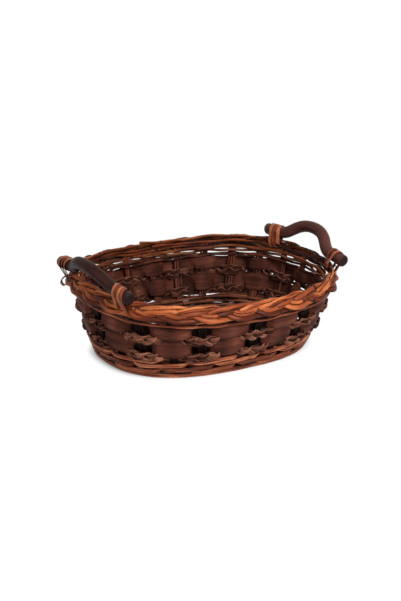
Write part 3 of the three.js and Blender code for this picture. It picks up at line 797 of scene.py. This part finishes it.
# %% Rods of the wall
FIRST_STAKE = 6
ROD_STEP = 2 * MM
# Painted shade on the woven rods: on each rod's far side, and where rods touch
ROD_SHADE_BEHIND = 0.5
ROD_SHADE_BETWEEN = 0.35
FOOT_PITCH = WEAVE_ROD + FOOT_ROW_SPACE
FOOT_PERIOD = 3
FOOT_CLIMB = 1.3 * MM
FOOT_TONES = (0.35, 0.95)
LOWEST_TONES = (0.1, 0.6)
THIN_ROD = 2.9 * MM
THIN_ROD_LIFT = 1.3 * MM
THIN_ROD_PROUD = 0.8 * MM
LINING_ROD = 3.5 * MM
PUSHED_IN = -1.95
INNER_RIM_ROD = RIM_ROD * 0.85
SPLICE_ROD = 3.0 * MM
SPLICE_RISE = 1.2 * MM
SPLICE_TAPER = 30 * MM
SPLICE_SHARES = (0.05, 0.1)
SPLICE_STEPS = 40
SCATTERED_SPLICES = 12
FRONT_SPLICES = (0.56, 0.61, 0.65, 0.7)


def inside_every(period, first=0):
    """The rule of a weaver that is inside the first stake of every few, and outside the others."""
    return lambda stake: np.where((stake - first) % period == 0, -1.0, 1.0)


def weave_side(share, height, side_at):
    """1 where a weaver is outside the stakes, -1 inside, and a smooth change between stakes."""
    flat = (STAKE_WIDTH / 2 + FLAT_MARGIN) / rim_length(height) * STAKE_COUNT
    place = share * STAKE_COUNT
    stake = np.floor(place)
    progress = smooth_step(place - stake, flat, 1 - flat)
    return side_at(stake) + (side_at(stake + 1) - side_at(stake)) * progress


def ring_shares(first_stake, height, step):
    """Evenly spaced places once round the wall, starting and ending behind one stake."""
    half_butt = BUTT_GAP / 2 / rim_length(height)
    count = int(rim_length(height) / step)
    return first_stake / STAKE_COUNT + np.linspace(half_butt, 1 - half_butt, count)


def lining(first, second):
    """The rule of a rod on the inside, pushed further in by the weavers at one or two stakes in three."""
    places = (first % FOOT_PERIOD, second % FOOT_PERIOD)
    return lambda stake: np.where(np.isin(stake % FOOT_PERIOD, places), PUSHED_IN, -1.0)


# One rod of a row. Its stroke is the stake from which it starts to climb, in every three.
Weaver = namedtuple(
    "Weaver", "diameter side_at lift proud climb stroke sway", defaults=(0, 0, 0, 0, 0.3 * MM)
)


def spliced_end(height, start, rng):
    """The end of a rod that was laid in beside another, on the inside of the stakes, and cut off there."""
    share = np.linspace(start, start + rng.uniform(*SPLICE_SHARES), SPLICE_STEPS)
    point, _, up, out = wall_frame(share, height)
    distance = travelled(point)
    diameter = SPLICE_ROD * (0.6 + 0.4 * smooth_step(distance, 0, SPLICE_TAPER))
    inwards = beside_stake(SPLICE_ROD)
    upwards = rng.uniform(-1.6, 1.6) * MM + rng.uniform(-25, 25) * MM * (share - start)
    return rod(shifted(point, (out, -inwards), (up, upwards)), out, diameter, rng, ROD_SHADE_BEHIND)


def woven_rods(name, first_stake, *weavers, splices=(), tones=(0, 1)):
    """A row of the wall, once round: rods that work together, and ends laid in beside them."""
    rng = chance(name)
    height = row_height[name]
    share = ring_shares(first_stake, height, ROD_STEP)
    point, _, up, out = wall_frame(share, height)
    distance = travelled(point)
    bodies = []
    for one in weavers:
        side = weave_side(share, height, one.side_at)
        outwards = side * (beside_stake(one.diameter) + one.proud)
        upwards = one.lift + one.sway * wander(distance, 80 * MM, rng)
        upwards = upwards - one.climb * np.sin(2 * np.pi * (share * STAKE_COUNT - one.stroke) / FOOT_PERIOD)
        centre = shifted(point, (out, outwards), (up, upwards))
        bodies.append(rod(centre, out, one.diameter, rng, ROD_SHADE_BEHIND, ROD_SHADE_BETWEEN, tones))
    for start in splices:
        bodies.append(spliced_end(climb(height, SPLICE_RISE), start, rng))
    piece(name + "_willow", bodies, ROD_WILLOW, "rod_willow", name)


low_rod = Weaver(THIN_ROD, np.ones_like, lift=-0.8 * MM, proud=THIN_ROD_PROUD)
next_rod = Weaver(THIN_ROD, np.ones_like, lift=1.8 * MM, proud=THIN_ROD_PROUD, sway=0.6 * MM)
low_lining = Weaver(LINING_ROD, lining(0, 0), lift=3.4 * MM)
woven_rods("foot_rod_1", FIRST_STAKE, low_rod, next_rod, low_lining, tones=LOWEST_TONES)
for row in range(WOVEN_FOOT_ROWS):
    side_at = inside_every(FOOT_PERIOD, -row)
    weavers = []
    for lift in (-THIN_ROD_LIFT, THIN_ROD_LIFT):
        weavers.append(Weaver(THIN_ROD, side_at, lift, THIN_ROD_PROUD, FOOT_CLIMB, -row, sway=0.25 * MM))
    if row < WOVEN_FOOT_ROWS - 1:
        weavers.append(Weaver(LINING_ROD, lining(-row, -row - 1), FOOT_PITCH / 2))
    woven_rods(f"foot_rod_{row + 2}", FIRST_STAKE - row, *weavers, tones=FOOT_TONES)
outer_rod = Weaver(RIM_ROD, inside_every(STAKE_COUNT, FIRST_STAKE), proud=OUTER_ROD_PROUD, sway=0.7 * MM)
inner_rod_low = Weaver(INNER_RIM_ROD, inside_every(1), lift=-1.1 * MM, sway=1.2 * MM)
scattered = chance("splices").uniform(0, 1, SCATTERED_SPLICES)
woven_rods("rim_rod_1", FIRST_STAKE, outer_rod, inner_rod_low, splices=scattered)
over_rod = Weaver(RIM_ROD, inside_every(2), lift=0.4 * MM, sway=0.5 * MM)
under_rod = Weaver(RIM_ROD, inside_every(2, 1), lift=-2.9 * MM, sway=0.9 * MM)
woven_rods("rim_rod_2", FIRST_STAKE, over_rod, under_rod, splices=FRONT_SPLICES)
print("wall rows:", WOVEN_FOOT_ROWS + 1, "at the foot and 2 under the border")

# %% [markdown]
# ## Wall strips
#
# Each strip is one long shaving that goes once round, outside every second stake, and laps over its own
# start for two stakes, so no end is loose. It stays outside for most of its way and dips in only close
# to the stakes between. It is gathered on its way in and out, and spreads on both sides,
# most of all outside, into a wide patch that bulges. The upper strip hangs over the lower one,
# and no edge is quite straight.


# %% Wall strips
STRIP_STEP = 1.5 * MM
STRIP_END_STAKES = 0.18
LAP_FADE_START = 0.3
LAP_FADE_END = 0.8
STRIP_FLAT = 0.3
OUTSIDE_LEAN = 1.45
BELLY_REACH = 0.66
OUTER_BELLY = 5.6 * MM
OUTER_ROUNDNESS = 2.2
INNER_ROUNDNESS = 4
LEAST_BELLY = 1.2 * MM
STRIP_BULGE = 2.2 * MM
THINNED = 0.85
STRIP_INSIDE_SHADE = 1.2
STRIP_BACK_SHADE = 0.25


def mostly_outside(share, first_outside):
    """How far a place is from the stakes that a weaver passes outside, in stakes, and its side there.

    The weaver goes inside only close to the stakes between them.
    """
    away = np.abs((share * STAKE_COUNT - first_outside + 1) % 2 - 1)
    return away, 1 - 2 * smooth_step(away ** OUTSIDE_LEAN, STRIP_FLAT, 1 - STRIP_FLAT)


def wall_strip(name, first_stake, belly_above, belly_below, proud):
    """A strip once round. Its bellies above and below are shares of how far it spreads."""
    rng = chance(name)
    height = row_height[name]
    turns = 1 + (STRIP_LAP_STAKES + 2 * STRIP_END_STAKES) / STAKE_COUNT
    count = int(turns * rim_length(height) / STRIP_STEP)
    share = (first_stake - STRIP_END_STAKES) / STAKE_COUNT + np.linspace(0, turns, count)
    stakes_in = share * STAKE_COUNT - first_stake
    layer = (STRIP_THICKNESS + WEAVE_GAP) / 2
    under = 1 - smooth_step(stakes_in, STRIP_LAP_STAKES + LAP_FADE_START, STRIP_LAP_STAKES + LAP_FADE_END)
    above = smooth_step(stakes_in, STAKE_COUNT - LAP_FADE_END, STAKE_COUNT - LAP_FADE_START)
    away, side = mostly_outside(share, 1)
    outwards = side * (beside_stake(STRIP_THICKNESS) + layer * (under + above)) + layer * (above - under)
    outwards = outwards + proud * np.maximum(side, 0)
    point, _, up, out = wall_frame(share, height)
    distance = travelled(point)
    outer = OUTER_BELLY * np.sqrt(np.maximum(0, 1 - (away / BELLY_REACH) ** OUTER_ROUNDNESS))
    inner_place = (1 - away) / (1 - BELLY_REACH)
    inner = STRIP_BELLY * np.sqrt(np.maximum(0, 1 - inner_place**INNER_ROUNDNESS))
    spread = np.maximum(LEAST_BELLY, np.maximum(outer, inner))
    top = STRIP_WIDTH / 2 + belly_above * spread + 0.5 * MM * wander(distance, 60 * MM, rng)
    bottom = -STRIP_WIDTH / 2 - belly_below * spread + 0.5 * MM * wander(distance, 75 * MM, rng)
    upwards = (top + bottom) / 2 + 0.4 * MM * wander(distance, 170 * MM, rng)
    line = shifted(point, (out, outwards), (up, upwards))
    cup = 0.25 * MM * wander(distance, 80 * MM, rng) - STRIP_BULGE * np.maximum(side, 0)
    across, over, mark = flat_section(count, (top - bottom) / 2, STRIP_THICKNESS / 2 * THINNED, cup)
    tint = 0.5 + 0.35 * wander(distance, 70 * MM, rng)
    outer_face = np.arange(across.shape[1]) >= across.shape[1] // 2
    inside_shade = STRIP_INSIDE_SHADE * smooth_step(-side, 0, 0.8)[:, None]
    tint = tint[:, None] - np.where(outer_face, inside_shade, STRIP_BACK_SHADE)
    body = sweep(line, out, across, over, tint, mark, rng)
    piece(name + "_chip", [body], CHIP, "chip_strip", name)


wall_strip("lower_strip", first_stake=4, belly_above=0.95, belly_below=1.85, proud=0.5 * MM)
wall_strip("upper_strip", first_stake=8, belly_above=0.0, belly_below=1.15, proud=1.0 * MM)
print("wall strips: 2")

# %% [markdown]
# ## Husk braids
#
# A braid is three strands of folded husk, plaited flat and then woven like a strip, outside the stakes
# that the strips pass inside. Each strand is a thin leaf, widest where it crosses the middle
# and pinched where it folds back at the edge. Its folds stay sharp, and each leaf has a tone of its own.


# %% Husk braids
BRAID_PERIOD = 46 * MM
BRAID_SWING = 3.6 * MM
BRAID_DEPTH = 2.3 * MM
BRAID_PROUD = 0.8 * MM
BRAID_STEP = 1 * MM
BRAID_STRANDS = 3
HUSK_WIDTH = 6.8 * MM
HUSK_THICKNESS = 2.0 * MM
HUSK_ROLL = 0.26
HUSK_TONES = (-0.7, 1.2)
HUSK_BACK_SHADE = 0.9


def leaf_section(half_width, half_thickness):
    """A leaf folded along its middle: thin edges, two thick halves and a crease."""
    x = np.array([-1, -0.6, -0.2, 0, 0.2, 0.6, 1, 0.6, 0.2, 0, -0.2, -0.6])
    y = np.array([0, -0.8, -1, -0.7, -1, -0.8, 0, 0.8, 1, 0.45, 1, 0.8])
    mark = smooth_step(np.abs(x), 0.6, 1.0)
    return half_width[:, None] * x, half_thickness[:, None] * y, mark


def husk_braid(name, first_stake):
    """A flat plait once round, each strand a row of folded leaves."""
    rng = chance(name)
    height = row_height[name]
    share = ring_shares(first_stake, height, BRAID_STEP)
    point, _, _, out = wall_frame(share, height)
    _, side = mostly_outside(share, 0)
    outwards = side * beside_stake(BRAID_THICKNESS) + BRAID_PROUD
    line = shifted(point, (out, outwards))
    rise, facing = line_frame(line, out)
    distance = travelled(line)
    bodies = []
    for strand in range(BRAID_STRANDS):
        uneven = 0.05 * wander(distance, 90 * MM, rng)
        phase = 2 * np.pi * (distance / BRAID_PERIOD + strand / BRAID_STRANDS + uneven)
        swing = BRAID_SWING * np.sin(phase) * (1 + 0.12 * wander(distance, 50 * MM, rng))
        depth = BRAID_DEPTH * np.sin(2 * phase)
        centre = shifted(line, (rise, swing), (facing, depth))
        middle = np.abs(np.cos(phase))
        width = HUSK_WIDTH / 2 * (0.5 + 0.56 * middle) * (1 + 0.06 * wander(distance, 28 * MM, rng))
        thickness = HUSK_THICKNESS / 2 * (1.15 - 0.3 * middle)
        roll = HUSK_ROLL * np.cos(phase) + 0.12 * wander(distance, 33 * MM, rng)
        outward = facing * np.cos(roll)[:, None] + rise * np.sin(roll)[:, None]
        across, over, mark = leaf_section(width, thickness)
        leaf = np.round(phase / np.pi).astype(int)
        tint = rng.uniform(*HUSK_TONES, leaf.max() + 1)[leaf][:, None] - HUSK_BACK_SHADE * (over < 0)
        bodies.append(sweep(centre, outward, across, over, tint, mark, rng))
    made = piece(name + "_husk", bodies, HUSK, "husk_braid", name)
    made.data.shade_flat()


husk_braid("lower_braid", first_stake=7)
husk_braid("upper_braid", first_stake=5)
print("braids: 2 of", BRAID_STRANDS, "strands")

# %% [markdown]
# ## Border
#
# The rim is a plait of three strands, each two or three rods side by side. A strand swings from the lower
# edge to the upper one in front of its neighbour and back behind the next, once for every three stakes.
# This plait takes the most skill: the rods must stay flat beside each other through every turn.
# A thin rod inside hides the tops of the stakes, and long rods are pushed in along the back
# to fill the plait out. Their thick ends are cut off and stand up a little.

# %% Border
PLAIT_OUT = beside_stake(STRAND_THICKNESS) + PLAIT_DEPTH
PLAIT_START = 6.5
PLAIT_STEPS = 24
LINGERING = 0.12
FRONT_SWELL = 0.08
# The diameters of the rods in each strand, in millimetres
BORDER_RODS = [[6.0, 4.6], [4.8, 5.8], [5.4, 2.6, 2.8]]
# The border rods get painted shade on their far side and where they touch each other
BORDER_LOOK = {"shade_behind": 0.45, "shade_between": 0.6, "flatness": 0.68, "knot_every": 32 * MM, "sides": 14}
ROD_SWING = 5.2 * MM
ROD_DEPTH = 2.2 * MM
INNER_ROD = 3.2 * MM
INNER_ROD_DROP = 2.4 * MM
# Painted shade on the far side of the inner rod
INNER_ROD_SHADE_BEHIND = 0.45
LONG_ROD = 3.4 * MM
# Painted shade on the far side of the long rods
LONG_ROD_SHADE_BEHIND = 0.4
LONG_ROD_STEPS = 500
CUT_END_RUN = 35 * MM
CUT_END_RISE = 4 * MM
TAPER_RUN = 40 * MM
# For each strand its long rods: start and end as shares of the way round, rise and depth in millimetres
LONG_RODS = (
    ((0.092, 0.27, 11.0, 3.2), (0.22, 0.40, 5.2, 5.4)),
    ((0.085, 0.25, 4.6, 5.4), (0.245, 0.408, 11.2, 3.2)),
    ((0.16, 0.33, 1.4, 5.4),),
)


def plait_frame(share):
    """The middle of the plait at a place round the rim, and its directions: along, level, up and out."""
    point, along, _, _ = wall_frame(share, PLAIT_HEIGHT)
    level = level_out(along)
    up = UPWARD * math.cos(PLAIT_TILT) - level * math.sin(PLAIT_TILT)
    out = level * math.cos(PLAIT_TILT) + UPWARD * math.sin(PLAIT_TILT)
    return point + level * PLAIT_OUT, along, level, up, out


def strand_swing(share, strand):
    """How far a strand of the solid plait is above its middle, and in front of it."""
    phase = 2 * np.pi * (share * STAKE_COUNT + strand) / PLAIT_STRANDS
    return PLAIT_SWING * np.cos(phase), -PLAIT_DEPTH * np.sin(2 * phase)


def inner_rod(share, rng):
    """The rod that hides the tops of the stakes from inside."""
    point, _, up, out = wall_frame(share, STAKE_TOP - INNER_ROD_DROP)
    inwards = beside_stake(INNER_ROD)
    upwards = 0.8 * MM * wander(travelled(point), 130 * MM, rng)
    return rod(shifted(point, (out, -inwards), (up, upwards)), out, INNER_ROD, rng, INNER_ROD_SHADE_BEHIND)


def long_rod(start, end, rise, depth, rng):
    """A rod along the inside of the plait, with a thin start and a cut end that stands up a little."""
    share = np.linspace(start, end, int((end - start) * LONG_ROD_STEPS))
    point, _, _, up, out = plait_frame(share)
    distance = travelled(point)
    ending = smooth_step(distance, distance[-1] - CUT_END_RUN, distance[-1])
    upwards = rise + 0.9 * MM * wander(distance, 120 * MM, rng) + CUT_END_RISE * ending
    inwards = depth + 0.4 * MM * wander(distance, 90 * MM, rng)
    centre = shifted(point, (up, upwards), (out, -inwards))
    diameter = LONG_ROD * (0.5 + 0.5 * smooth_step(distance, 0, TAPER_RUN))
    return rod(centre, out, diameter, rng, LONG_ROD_SHADE_BEHIND)


def border_strand(name, strand):
    """One strand of the plait: its rods side by side, and the rods that lie along the inside with it."""
    rng = chance(name)
    start = (PLAIT_START + strand) / STAKE_COUNT
    length = 1 - BUTT_GAP / rim_length(PLAIT_HEIGHT)
    share = start + np.linspace(0, length, PLAIT_STEPS * STAKE_COUNT)
    point, _, level, up, out = plait_frame(share)
    rise, depth = strand_swing(share, strand)
    lingering = np.cos(6 * np.pi * (share * STAKE_COUNT + strand) / PLAIT_STRANDS)
    rise = rise * ROD_SWING / PLAIT_SWING - LINGERING * ROD_SWING * lingering
    depth = depth * ROD_DEPTH / PLAIT_DEPTH
    line = shifted(point, (up, rise), (level, depth))
    sideways, facing = line_frame(line, out)
    distance = travelled(line)
    sizes = np.array(BORDER_RODS[strand]) * MM
    edges = np.cumsum([0, *sizes])
    bodies = []
    for lane, size in enumerate(sizes):
        shift = edges[lane] + size / 2 - edges[-1] / 2 + 0.35 * MM * wander(distance, 45 * MM, rng)
        proud = 0.3 * MM * wander(distance, 60 * MM, rng)
        centre = shifted(line, (sideways, shift), (facing, proud))
        swell = size * (1 + FRONT_SWELL * depth / ROD_DEPTH)
        bodies.append(rod(centre, out, swell, rng, **BORDER_LOOK))
    if strand == 0:
        bodies.append(inner_rod(share, rng))
    for start, end, rise, depth in LONG_RODS[strand]:
        bodies.append(long_rod(start, end, rise * MM, depth * MM, rng))
    piece(name + "_rods", bodies, BORDER_WILLOW, "border_willow", name)


for strand in range(PLAIT_STRANDS):
    border_strand(f"border_strand_{strand + 1}", strand)
print("border strands:", PLAIT_STRANDS, "with", [len(sizes) for sizes in BORDER_RODS], "rods")

# %% [markdown]
# ## Handles
#
# Each handle is a thick rod, steamed and bent into a low ear. Its two ends lie on the shoulder
# of the border and point a little inwards, so that the lashing draws them tight. One curve runs
# from the border to the top, and the other half is its mirror image.


# %% Handles
REACH_SAMPLES = 72


def plait_reach(angle):
    """How far the plait reaches in a direction, measured from its middle."""
    rise, depth = strand_swing(np.arange(REACH_SAMPLES) / REACH_SAMPLES * PLAIT_STRANDS / STAKE_COUNT, 0)
    reach = rise * math.sin(angle - PLAIT_TILT) + depth * math.cos(angle - PLAIT_TILT)
    half_width = STRAND_WIDTH / 2 * math.sin(angle - PLAIT_TILT)
    half_thickness = STRAND_THICKNESS / 2 * math.cos(angle - PLAIT_TILT)
    return reach.max() + math.hypot(half_width, half_thickness)


def handle_seat():
    """The point of a handle's middle line where it is lashed, at the +X +Y corner."""
    point, _, level, _, _ = plait_frame(HANDLE_PLACE / STAKE_COUNT)
    distance = plait_reach(HANDLE_SEAT_ANGLE) + WEAVE_GAP + HANDLE_ROD / 2
    outwards = distance * math.cos(HANDLE_SEAT_ANGLE) - HANDLE_SEAT_SHIFT * math.sin(HANDLE_SEAT_ANGLE)
    upwards = distance * math.sin(HANDLE_SEAT_ANGLE) + HANDLE_SEAT_SHIFT * math.cos(HANDLE_SEAT_ANGLE)
    return point + level * outwards + UPWARD * upwards


HANDLE_SIDES = 28
HANDLE_STEP = 0.8 * MM
HANDLE_SOFTENING = 6
HANDLE_FACETS = 3
FACET_HEIGHT = 0.018
END_ROUNDING = 0.3
ROUNDED_END = 2.2 * MM
DARK_END = 2.4 * MM
SEAT = handle_seat()
END_DIRECTION = unit(np.array([-math.tan(HANDLE_TOE_IN), 1, -math.tan(HANDLE_DROOP)]))


def handle(name, sign_x, tint):
    """The bent rod at one end of the basket."""
    rng = chance(name)
    tip = SEAT + END_DIRECTION * HANDLE_OUTER_END
    foot = SEAT - END_DIRECTION * HANDLE_INNER_END
    bow = np.array([math.sin(HANDLE_LEAN), 0, math.cos(HANDLE_LEAN)]) * HANDLE_BOW
    top = foot * [1, 0, 1] + bow
    leaving = foot - END_DIRECTION * HANDLE_FOOT_PULL * foot[1]
    arriving = top + np.array([0, HANDLE_TOP_PULL * foot[1], 0])
    quarter = np.concatenate([[tip], bezier([foot, leaving, arriving, top])])
    line = np.concatenate([quarter, quarter[-2::-1] * [1, -1, 1]]) * [sign_x, 1, 1]
    line, = even_line(line, HANDLE_STEP)
    line = softened(line, HANDLE_SOFTENING)
    distance = travelled(line)
    to_end = np.minimum(distance, distance[::-1])
    angle = 2 * np.pi * np.arange(HANDLE_SIDES) / HANDLE_SIDES
    radius = HANDLE_ROD / 2 * (1 + 0.015 * wander(distance, 60 * MM, rng))
    radius = radius * (1 - END_ROUNDING * np.clip(1 - to_end / ROUNDED_END, 0, 1) ** 2.4)
    facets = FACET_HEIGHT * np.sin(HANDLE_FACETS * angle + 1.5 * wander(distance, 120 * MM, rng)[:, None])
    shape = radius[:, None] * (1 + facets)
    mark = np.broadcast_to((1 - smooth_step(to_end, 0, DARK_END))[:, None], shape.shape)
    outward = np.tile([sign_x * math.cos(HANDLE_LEAN), 0, -math.sin(HANDLE_LEAN)], (len(line), 1))
    body = sweep(line, outward, shape * np.cos(angle), shape * np.sin(angle), tint + 0 * distance, mark, rng)
    piece(name + "_wood", [body], HANDLE_WOOD, "handle_wood", name)


# The left handle's much lower tint is painted shade, darker than the right handle
handle("handle_left", sign_x=-1, tint=-0.2)
handle("handle_right", sign_x=1, tint=0.75)
print("handle seat", (SEAT / MM).round(1), "mm")

# %% [markdown]
# ## Lashings
#
# A split rod is wound two to four times round the handle's end and the upper strands of the border,
# through the eye below them. It is drawn tight, so it lies on whichever of these reaches furthest
# and runs straight from one to the other. Pale and dark turns follow each other,
# and at three corners an end of the rod is left loose.


# %% Lashings
BUNDLE_WIDTH = 9.6 * MM
BUNDLE_THICKNESS = 3.8 * MM
LASH_PLACE = 3 * MM
LASH_PITCH = 1.18
TURN_POINTS = 240
LASH_STEP = 0.7 * MM
LASH_SOFTENING = 2
EDGE_MARK = 0.5
LOOSE_WIDTH = 2.6 * MM
LOOSE_STEP = 0.8 * MM
LOOSE_TINT = 0.4
DARK_TURN = 0.3
PALE_TURN = 1.0


def handle_share(sign_x, sign_y):
    """The place round the rim where a handle's end is lashed."""
    return ((0 if sign_x > 0 else HALF) + sign_x * sign_y * HANDLE_PLACE) / STAKE_COUNT


def lashing_line(sign_x, sign_y, turns, pitch):
    """The middle line of a lashing, and the direction that its flat side faces."""
    share = handle_share(sign_x, sign_y)
    point, along, _, up, out = plait_frame(share)
    mirror = np.array([sign_x, sign_y, 1])
    axis = END_DIRECTION * mirror
    axis_along = axis @ along
    axis_across = axis - along * axis_along
    strands = sorted(range(PLAIT_STRANDS), key=lambda strand: -strand_swing(share, strand)[0])
    turn = np.linspace(0, turns, turns * TURN_POINTS + 1)
    towards_tip = np.sign(axis_along)
    shift = (turn - turns / 2) * pitch + towards_tip * LASH_PLACE
    angle = np.pi - 2 * np.pi * turn
    cos, sin = np.cos(angle)[:, None], np.sin(angle)[:, None]
    direction = out * cos + up * sin
    lift = LASH_GAP + LASH_THICKNESS / 2
    spread = direction + axis_across * (direction @ axis_across)[:, None] / axis_along**2
    on_axis = SEAT * mirror + axis * (shift / axis_along)[:, None]
    reach = (HANDLE_ROD / 2 + lift) / np.sqrt(np.sum(spread * direction, axis=1, keepdims=True))
    places = [on_axis + spread * reach]
    strand_up = BUNDLE_WIDTH / 2 + lift
    strand_out = BUNDLE_THICKNESS / 2 + lift
    reach = np.hypot(strand_out * cos, strand_up * sin)
    for strand in strands[:LASHED_STRANDS]:
        rise, depth = strand_swing(share + shift / rim_length(PLAIT_HEIGHT), strand)
        place = point + along * shift[:, None] + out * (depth[:, None] + strand_out**2 * cos / reach)
        places.append(place + up * (rise[:, None] + strand_up**2 * sin / reach))
    furthest = np.argmax([np.sum(place * direction, axis=1) for place in places], axis=0)
    line = np.stack(places)[furthest, np.arange(len(turn))]
    line, direction = even_line(line, LASH_STEP, direction)
    return softened(line, LASH_SOFTENING), direction


def loose_end(sign_x, sign_y, reach, fall, back, rng):
    """An end of the lashing that hangs out over the border, and may come back to it further on."""
    point, along, level, _, _ = plait_frame(handle_share(sign_x, sign_y))
    start = point + level * 3 * MM + UPWARD * 4 * MM
    end = start - UPWARD * fall + along * back + level * (0 if back else reach * 0.6)
    line = bezier([start, start + level * reach, end + level * reach, end])
    line, = even_line(line, LOOSE_STEP)
    half_width = LOOSE_WIDTH / 2 * (1 - 0.5 * np.linspace(0, 1, len(line)) ** 2)
    across, over, mark = flat_section(len(line), half_width, LASH_THICKNESS / 2, cup=-0.1 * MM)
    facing = np.tile(level * 0.6 + UPWARD * 0.8, (len(line), 1))
    return sweep(line, facing, across, over, np.full(len(line), LOOSE_TINT), mark * EDGE_MARK, rng)


def lashing(name, sign_x, sign_y, turns, width, loose_ends=()):
    """The turns at one corner. A loose end is its reach, its fall and its way back, in millimetres."""
    rng = chance(name)
    line, direction = lashing_line(sign_x, sign_y, turns, width * LASH_PITCH)
    distance = travelled(line)
    half_width = width / 2 * (1 + 0.06 * wander(distance, 30 * MM, rng))
    across, over, mark = flat_section(len(line), half_width, LASH_THICKNESS / 2, cup=-0.15 * MM)
    tones = rng.uniform(-0.1, 0.2, turns + 2) + np.where(np.arange(turns + 2) % 2, DARK_TURN, PALE_TURN)
    turn = distance / distance[-1] * turns
    whole = np.floor(turn).astype(int)
    tint = tones[whole] + (tones[whole + 1] - tones[whole]) * smooth_step(turn - whole, 0.85, 1)
    bodies = [sweep(line, direction, across, over, tint, mark * EDGE_MARK, rng)]
    for reach, fall, back in loose_ends:
        bodies.append(loose_end(sign_x, sign_y, reach * MM, fall * MM, back * MM, rng))
    piece(name + "_cane", bodies, LASHING_CANE, "lashing_cane", name)


lashing("lashing_left_front", -1, -1, turns=4, width=4.0 * MM)
lashing("lashing_left_back", -1, 1, turns=3, width=5.4 * MM, loose_ends=((9, 12, 0), (11, 16, -14)))
lashing("lashing_right_front", 1, -1, turns=2, width=6.2 * MM, loose_ends=((8, 14, 10),))
lashing("lashing_right_back", 1, 1, turns=3, width=5.4 * MM, loose_ends=((7, -4, 0),))
print("lashings: 4")

# %% [markdown]
# ## Studio
#
# A pale paper table in a white room, a soft light to the right of the camera and a weaker, larger one
# to its left. Close to the basket the paper keeps the true shadow, and further out it fades to plain white.
# Only the rays that show the background see that white. As a source of light the room stays dim.


# %% Studio
WHITE = (1, 1, 1, 1)
PAPER_COLOUR = (0.8, 0.8, 0.8, 1)
FADE_START = 1.0
FADE_END = 1.4
ROOM_LIGHT = 0.085


def background_ray(start):
    """1 for a ray that shows the background: from the camera, off a shiny surface or through glass."""
    camera, glossy, through = (
        start.node("ShaderNodeLightPath", {}, {}, output=f"Is {kind} Ray")
        for kind in ("Camera", "Glossy", "Transmission")
    )
    return start.maths("MAXIMUM", start.maths("MAXIMUM", camera, glossy), through)


def white_stage(name):
    """Matt pale paper, seen as plain white a little way beyond the basket's foot."""
    material = bpy.data.materials.new(name)
    start = bare_tree(material)
    place = start.node("ShaderNodeTexCoord", {}, {}, output="Object")
    across = start.maths("ABSOLUTE", start.node("ShaderNodeSeparateXYZ", {}, {0: place}, output="X"))
    along = start.maths("ABSOLUTE", start.node("ShaderNodeSeparateXYZ", {}, {0: place}, output="Y"))
    oval_place = (across * (2 / BASE_LENGTH)) ** OVAL_POWER + (along * (2 / BASE_WIDTH)) ** OVAL_POWER
    beyond = oval_place.between(FADE_START, FADE_END)
    paper = start.node("ShaderNodeBsdfDiffuse", {}, {"Color": PAPER_COLOUR})
    glow = start.node("ShaderNodeEmission", {}, {"Color": WHITE, "Strength": 1.0})
    surface = start.node("ShaderNodeMixShader", {}, {0: background_ray(start) * beyond, 1: paper, 2: glow})
    start.node("ShaderNodeOutputMaterial", {}, {"Surface": surface})
    return material


FLOOR_REACH = 3.0
floor_mesh = bpy.data.meshes.new("floor")
corners = [(x * FLOOR_REACH, y * FLOOR_REACH, 0) for x, y in ((-1, -1), (1, -1), (1, 1), (-1, 1))]
floor_mesh.from_pydata(corners, [], [(0, 1, 2, 3)])
floor_mesh.materials.append(white_stage("white_table"))
floor = placed("floor", floor_mesh)

world = bpy.data.worlds.new("white_room")
start = bare_tree(world)
room = start.node("ShaderNodeBackground", {}, {"Color": WHITE, "Strength": ROOM_LIGHT})
white = start.node("ShaderNodeBackground", {}, {"Color": WHITE, "Strength": 1.0})
background = start.node("ShaderNodeMixShader", {}, {0: background_ray(start), 1: room, 2: white})
start.node("ShaderNodeOutputWorld", {}, {"Surface": background})
bpy.context.scene.world = world

MIDDLE = Vector((0, 0, 0.0533))


def around(azimuth, elevation, distance):
    """A place at a distance from the middle of the basket.

    Azimuth 0 is in front of the long side, and it grows to the right.
    """
    a, e = math.radians(azimuth), math.radians(elevation)
    return MIDDLE + Vector((math.sin(a) * math.cos(e), -math.cos(a) * math.cos(e), math.sin(e))) * distance


def soft_light(name, azimuth, elevation, distance, size, watts):
    """A square light that faces the middle of the basket."""
    data = bpy.data.lights.new(name, "AREA")
    data.size = size
    data.energy = watts
    light = placed(name, data)
    light.location = around(azimuth, elevation, distance)
    light.rotation_euler = (MIDDLE - light.location).to_track_quat("-Z", "Y").to_euler()


soft_light("key_light", azimuth=0, elevation=40, distance=1.0, size=0.5, watts=11)
soft_light("fill_light", azimuth=-80, elevation=30, distance=1.6, size=1.0, watts=6)
print("lights", len(bpy.data.lights))

# %% [markdown]
# ## Camera
#
# The photograph was taken from about two metres, with a long lens, a little above the basket
# and to its left. The picture is turned by two degrees, which a slight roll of the camera gives.

# %% Camera
CAMERA_AZIMUTH = -34.13
CAMERA_ELEVATION = 19.11
CAMERA_DISTANCE = 1.8443
CAMERA_ROLL = math.radians(2.01)
FRAME_PIXELS = 601
LENS_PIXELS = 1565.6
MIDDLE_RIGHT = 2.1
MIDDLE_DOWN = 1.35

camera_data = bpy.data.cameras.new("camera")
camera_data.lens = LENS_PIXELS / FRAME_PIXELS * camera_data.sensor_width
camera_data.shift_x = -MIDDLE_RIGHT / FRAME_PIXELS
camera_data.shift_y = MIDDLE_DOWN / FRAME_PIXELS
camera = placed("camera", camera_data)
camera.location = around(CAMERA_AZIMUTH, CAMERA_ELEVATION, CAMERA_DISTANCE)
look = (MIDDLE - camera.location).to_track_quat("-Z", "Y").to_matrix()
camera.rotation_euler = (look @ Matrix.Rotation(CAMERA_ROLL, 3, "Z")).to_euler()
bpy.context.scene.camera = camera
bpy.context.scene.view_settings.view_transform = "Standard"
print("lens", round(camera_data.lens, 1), "mm")
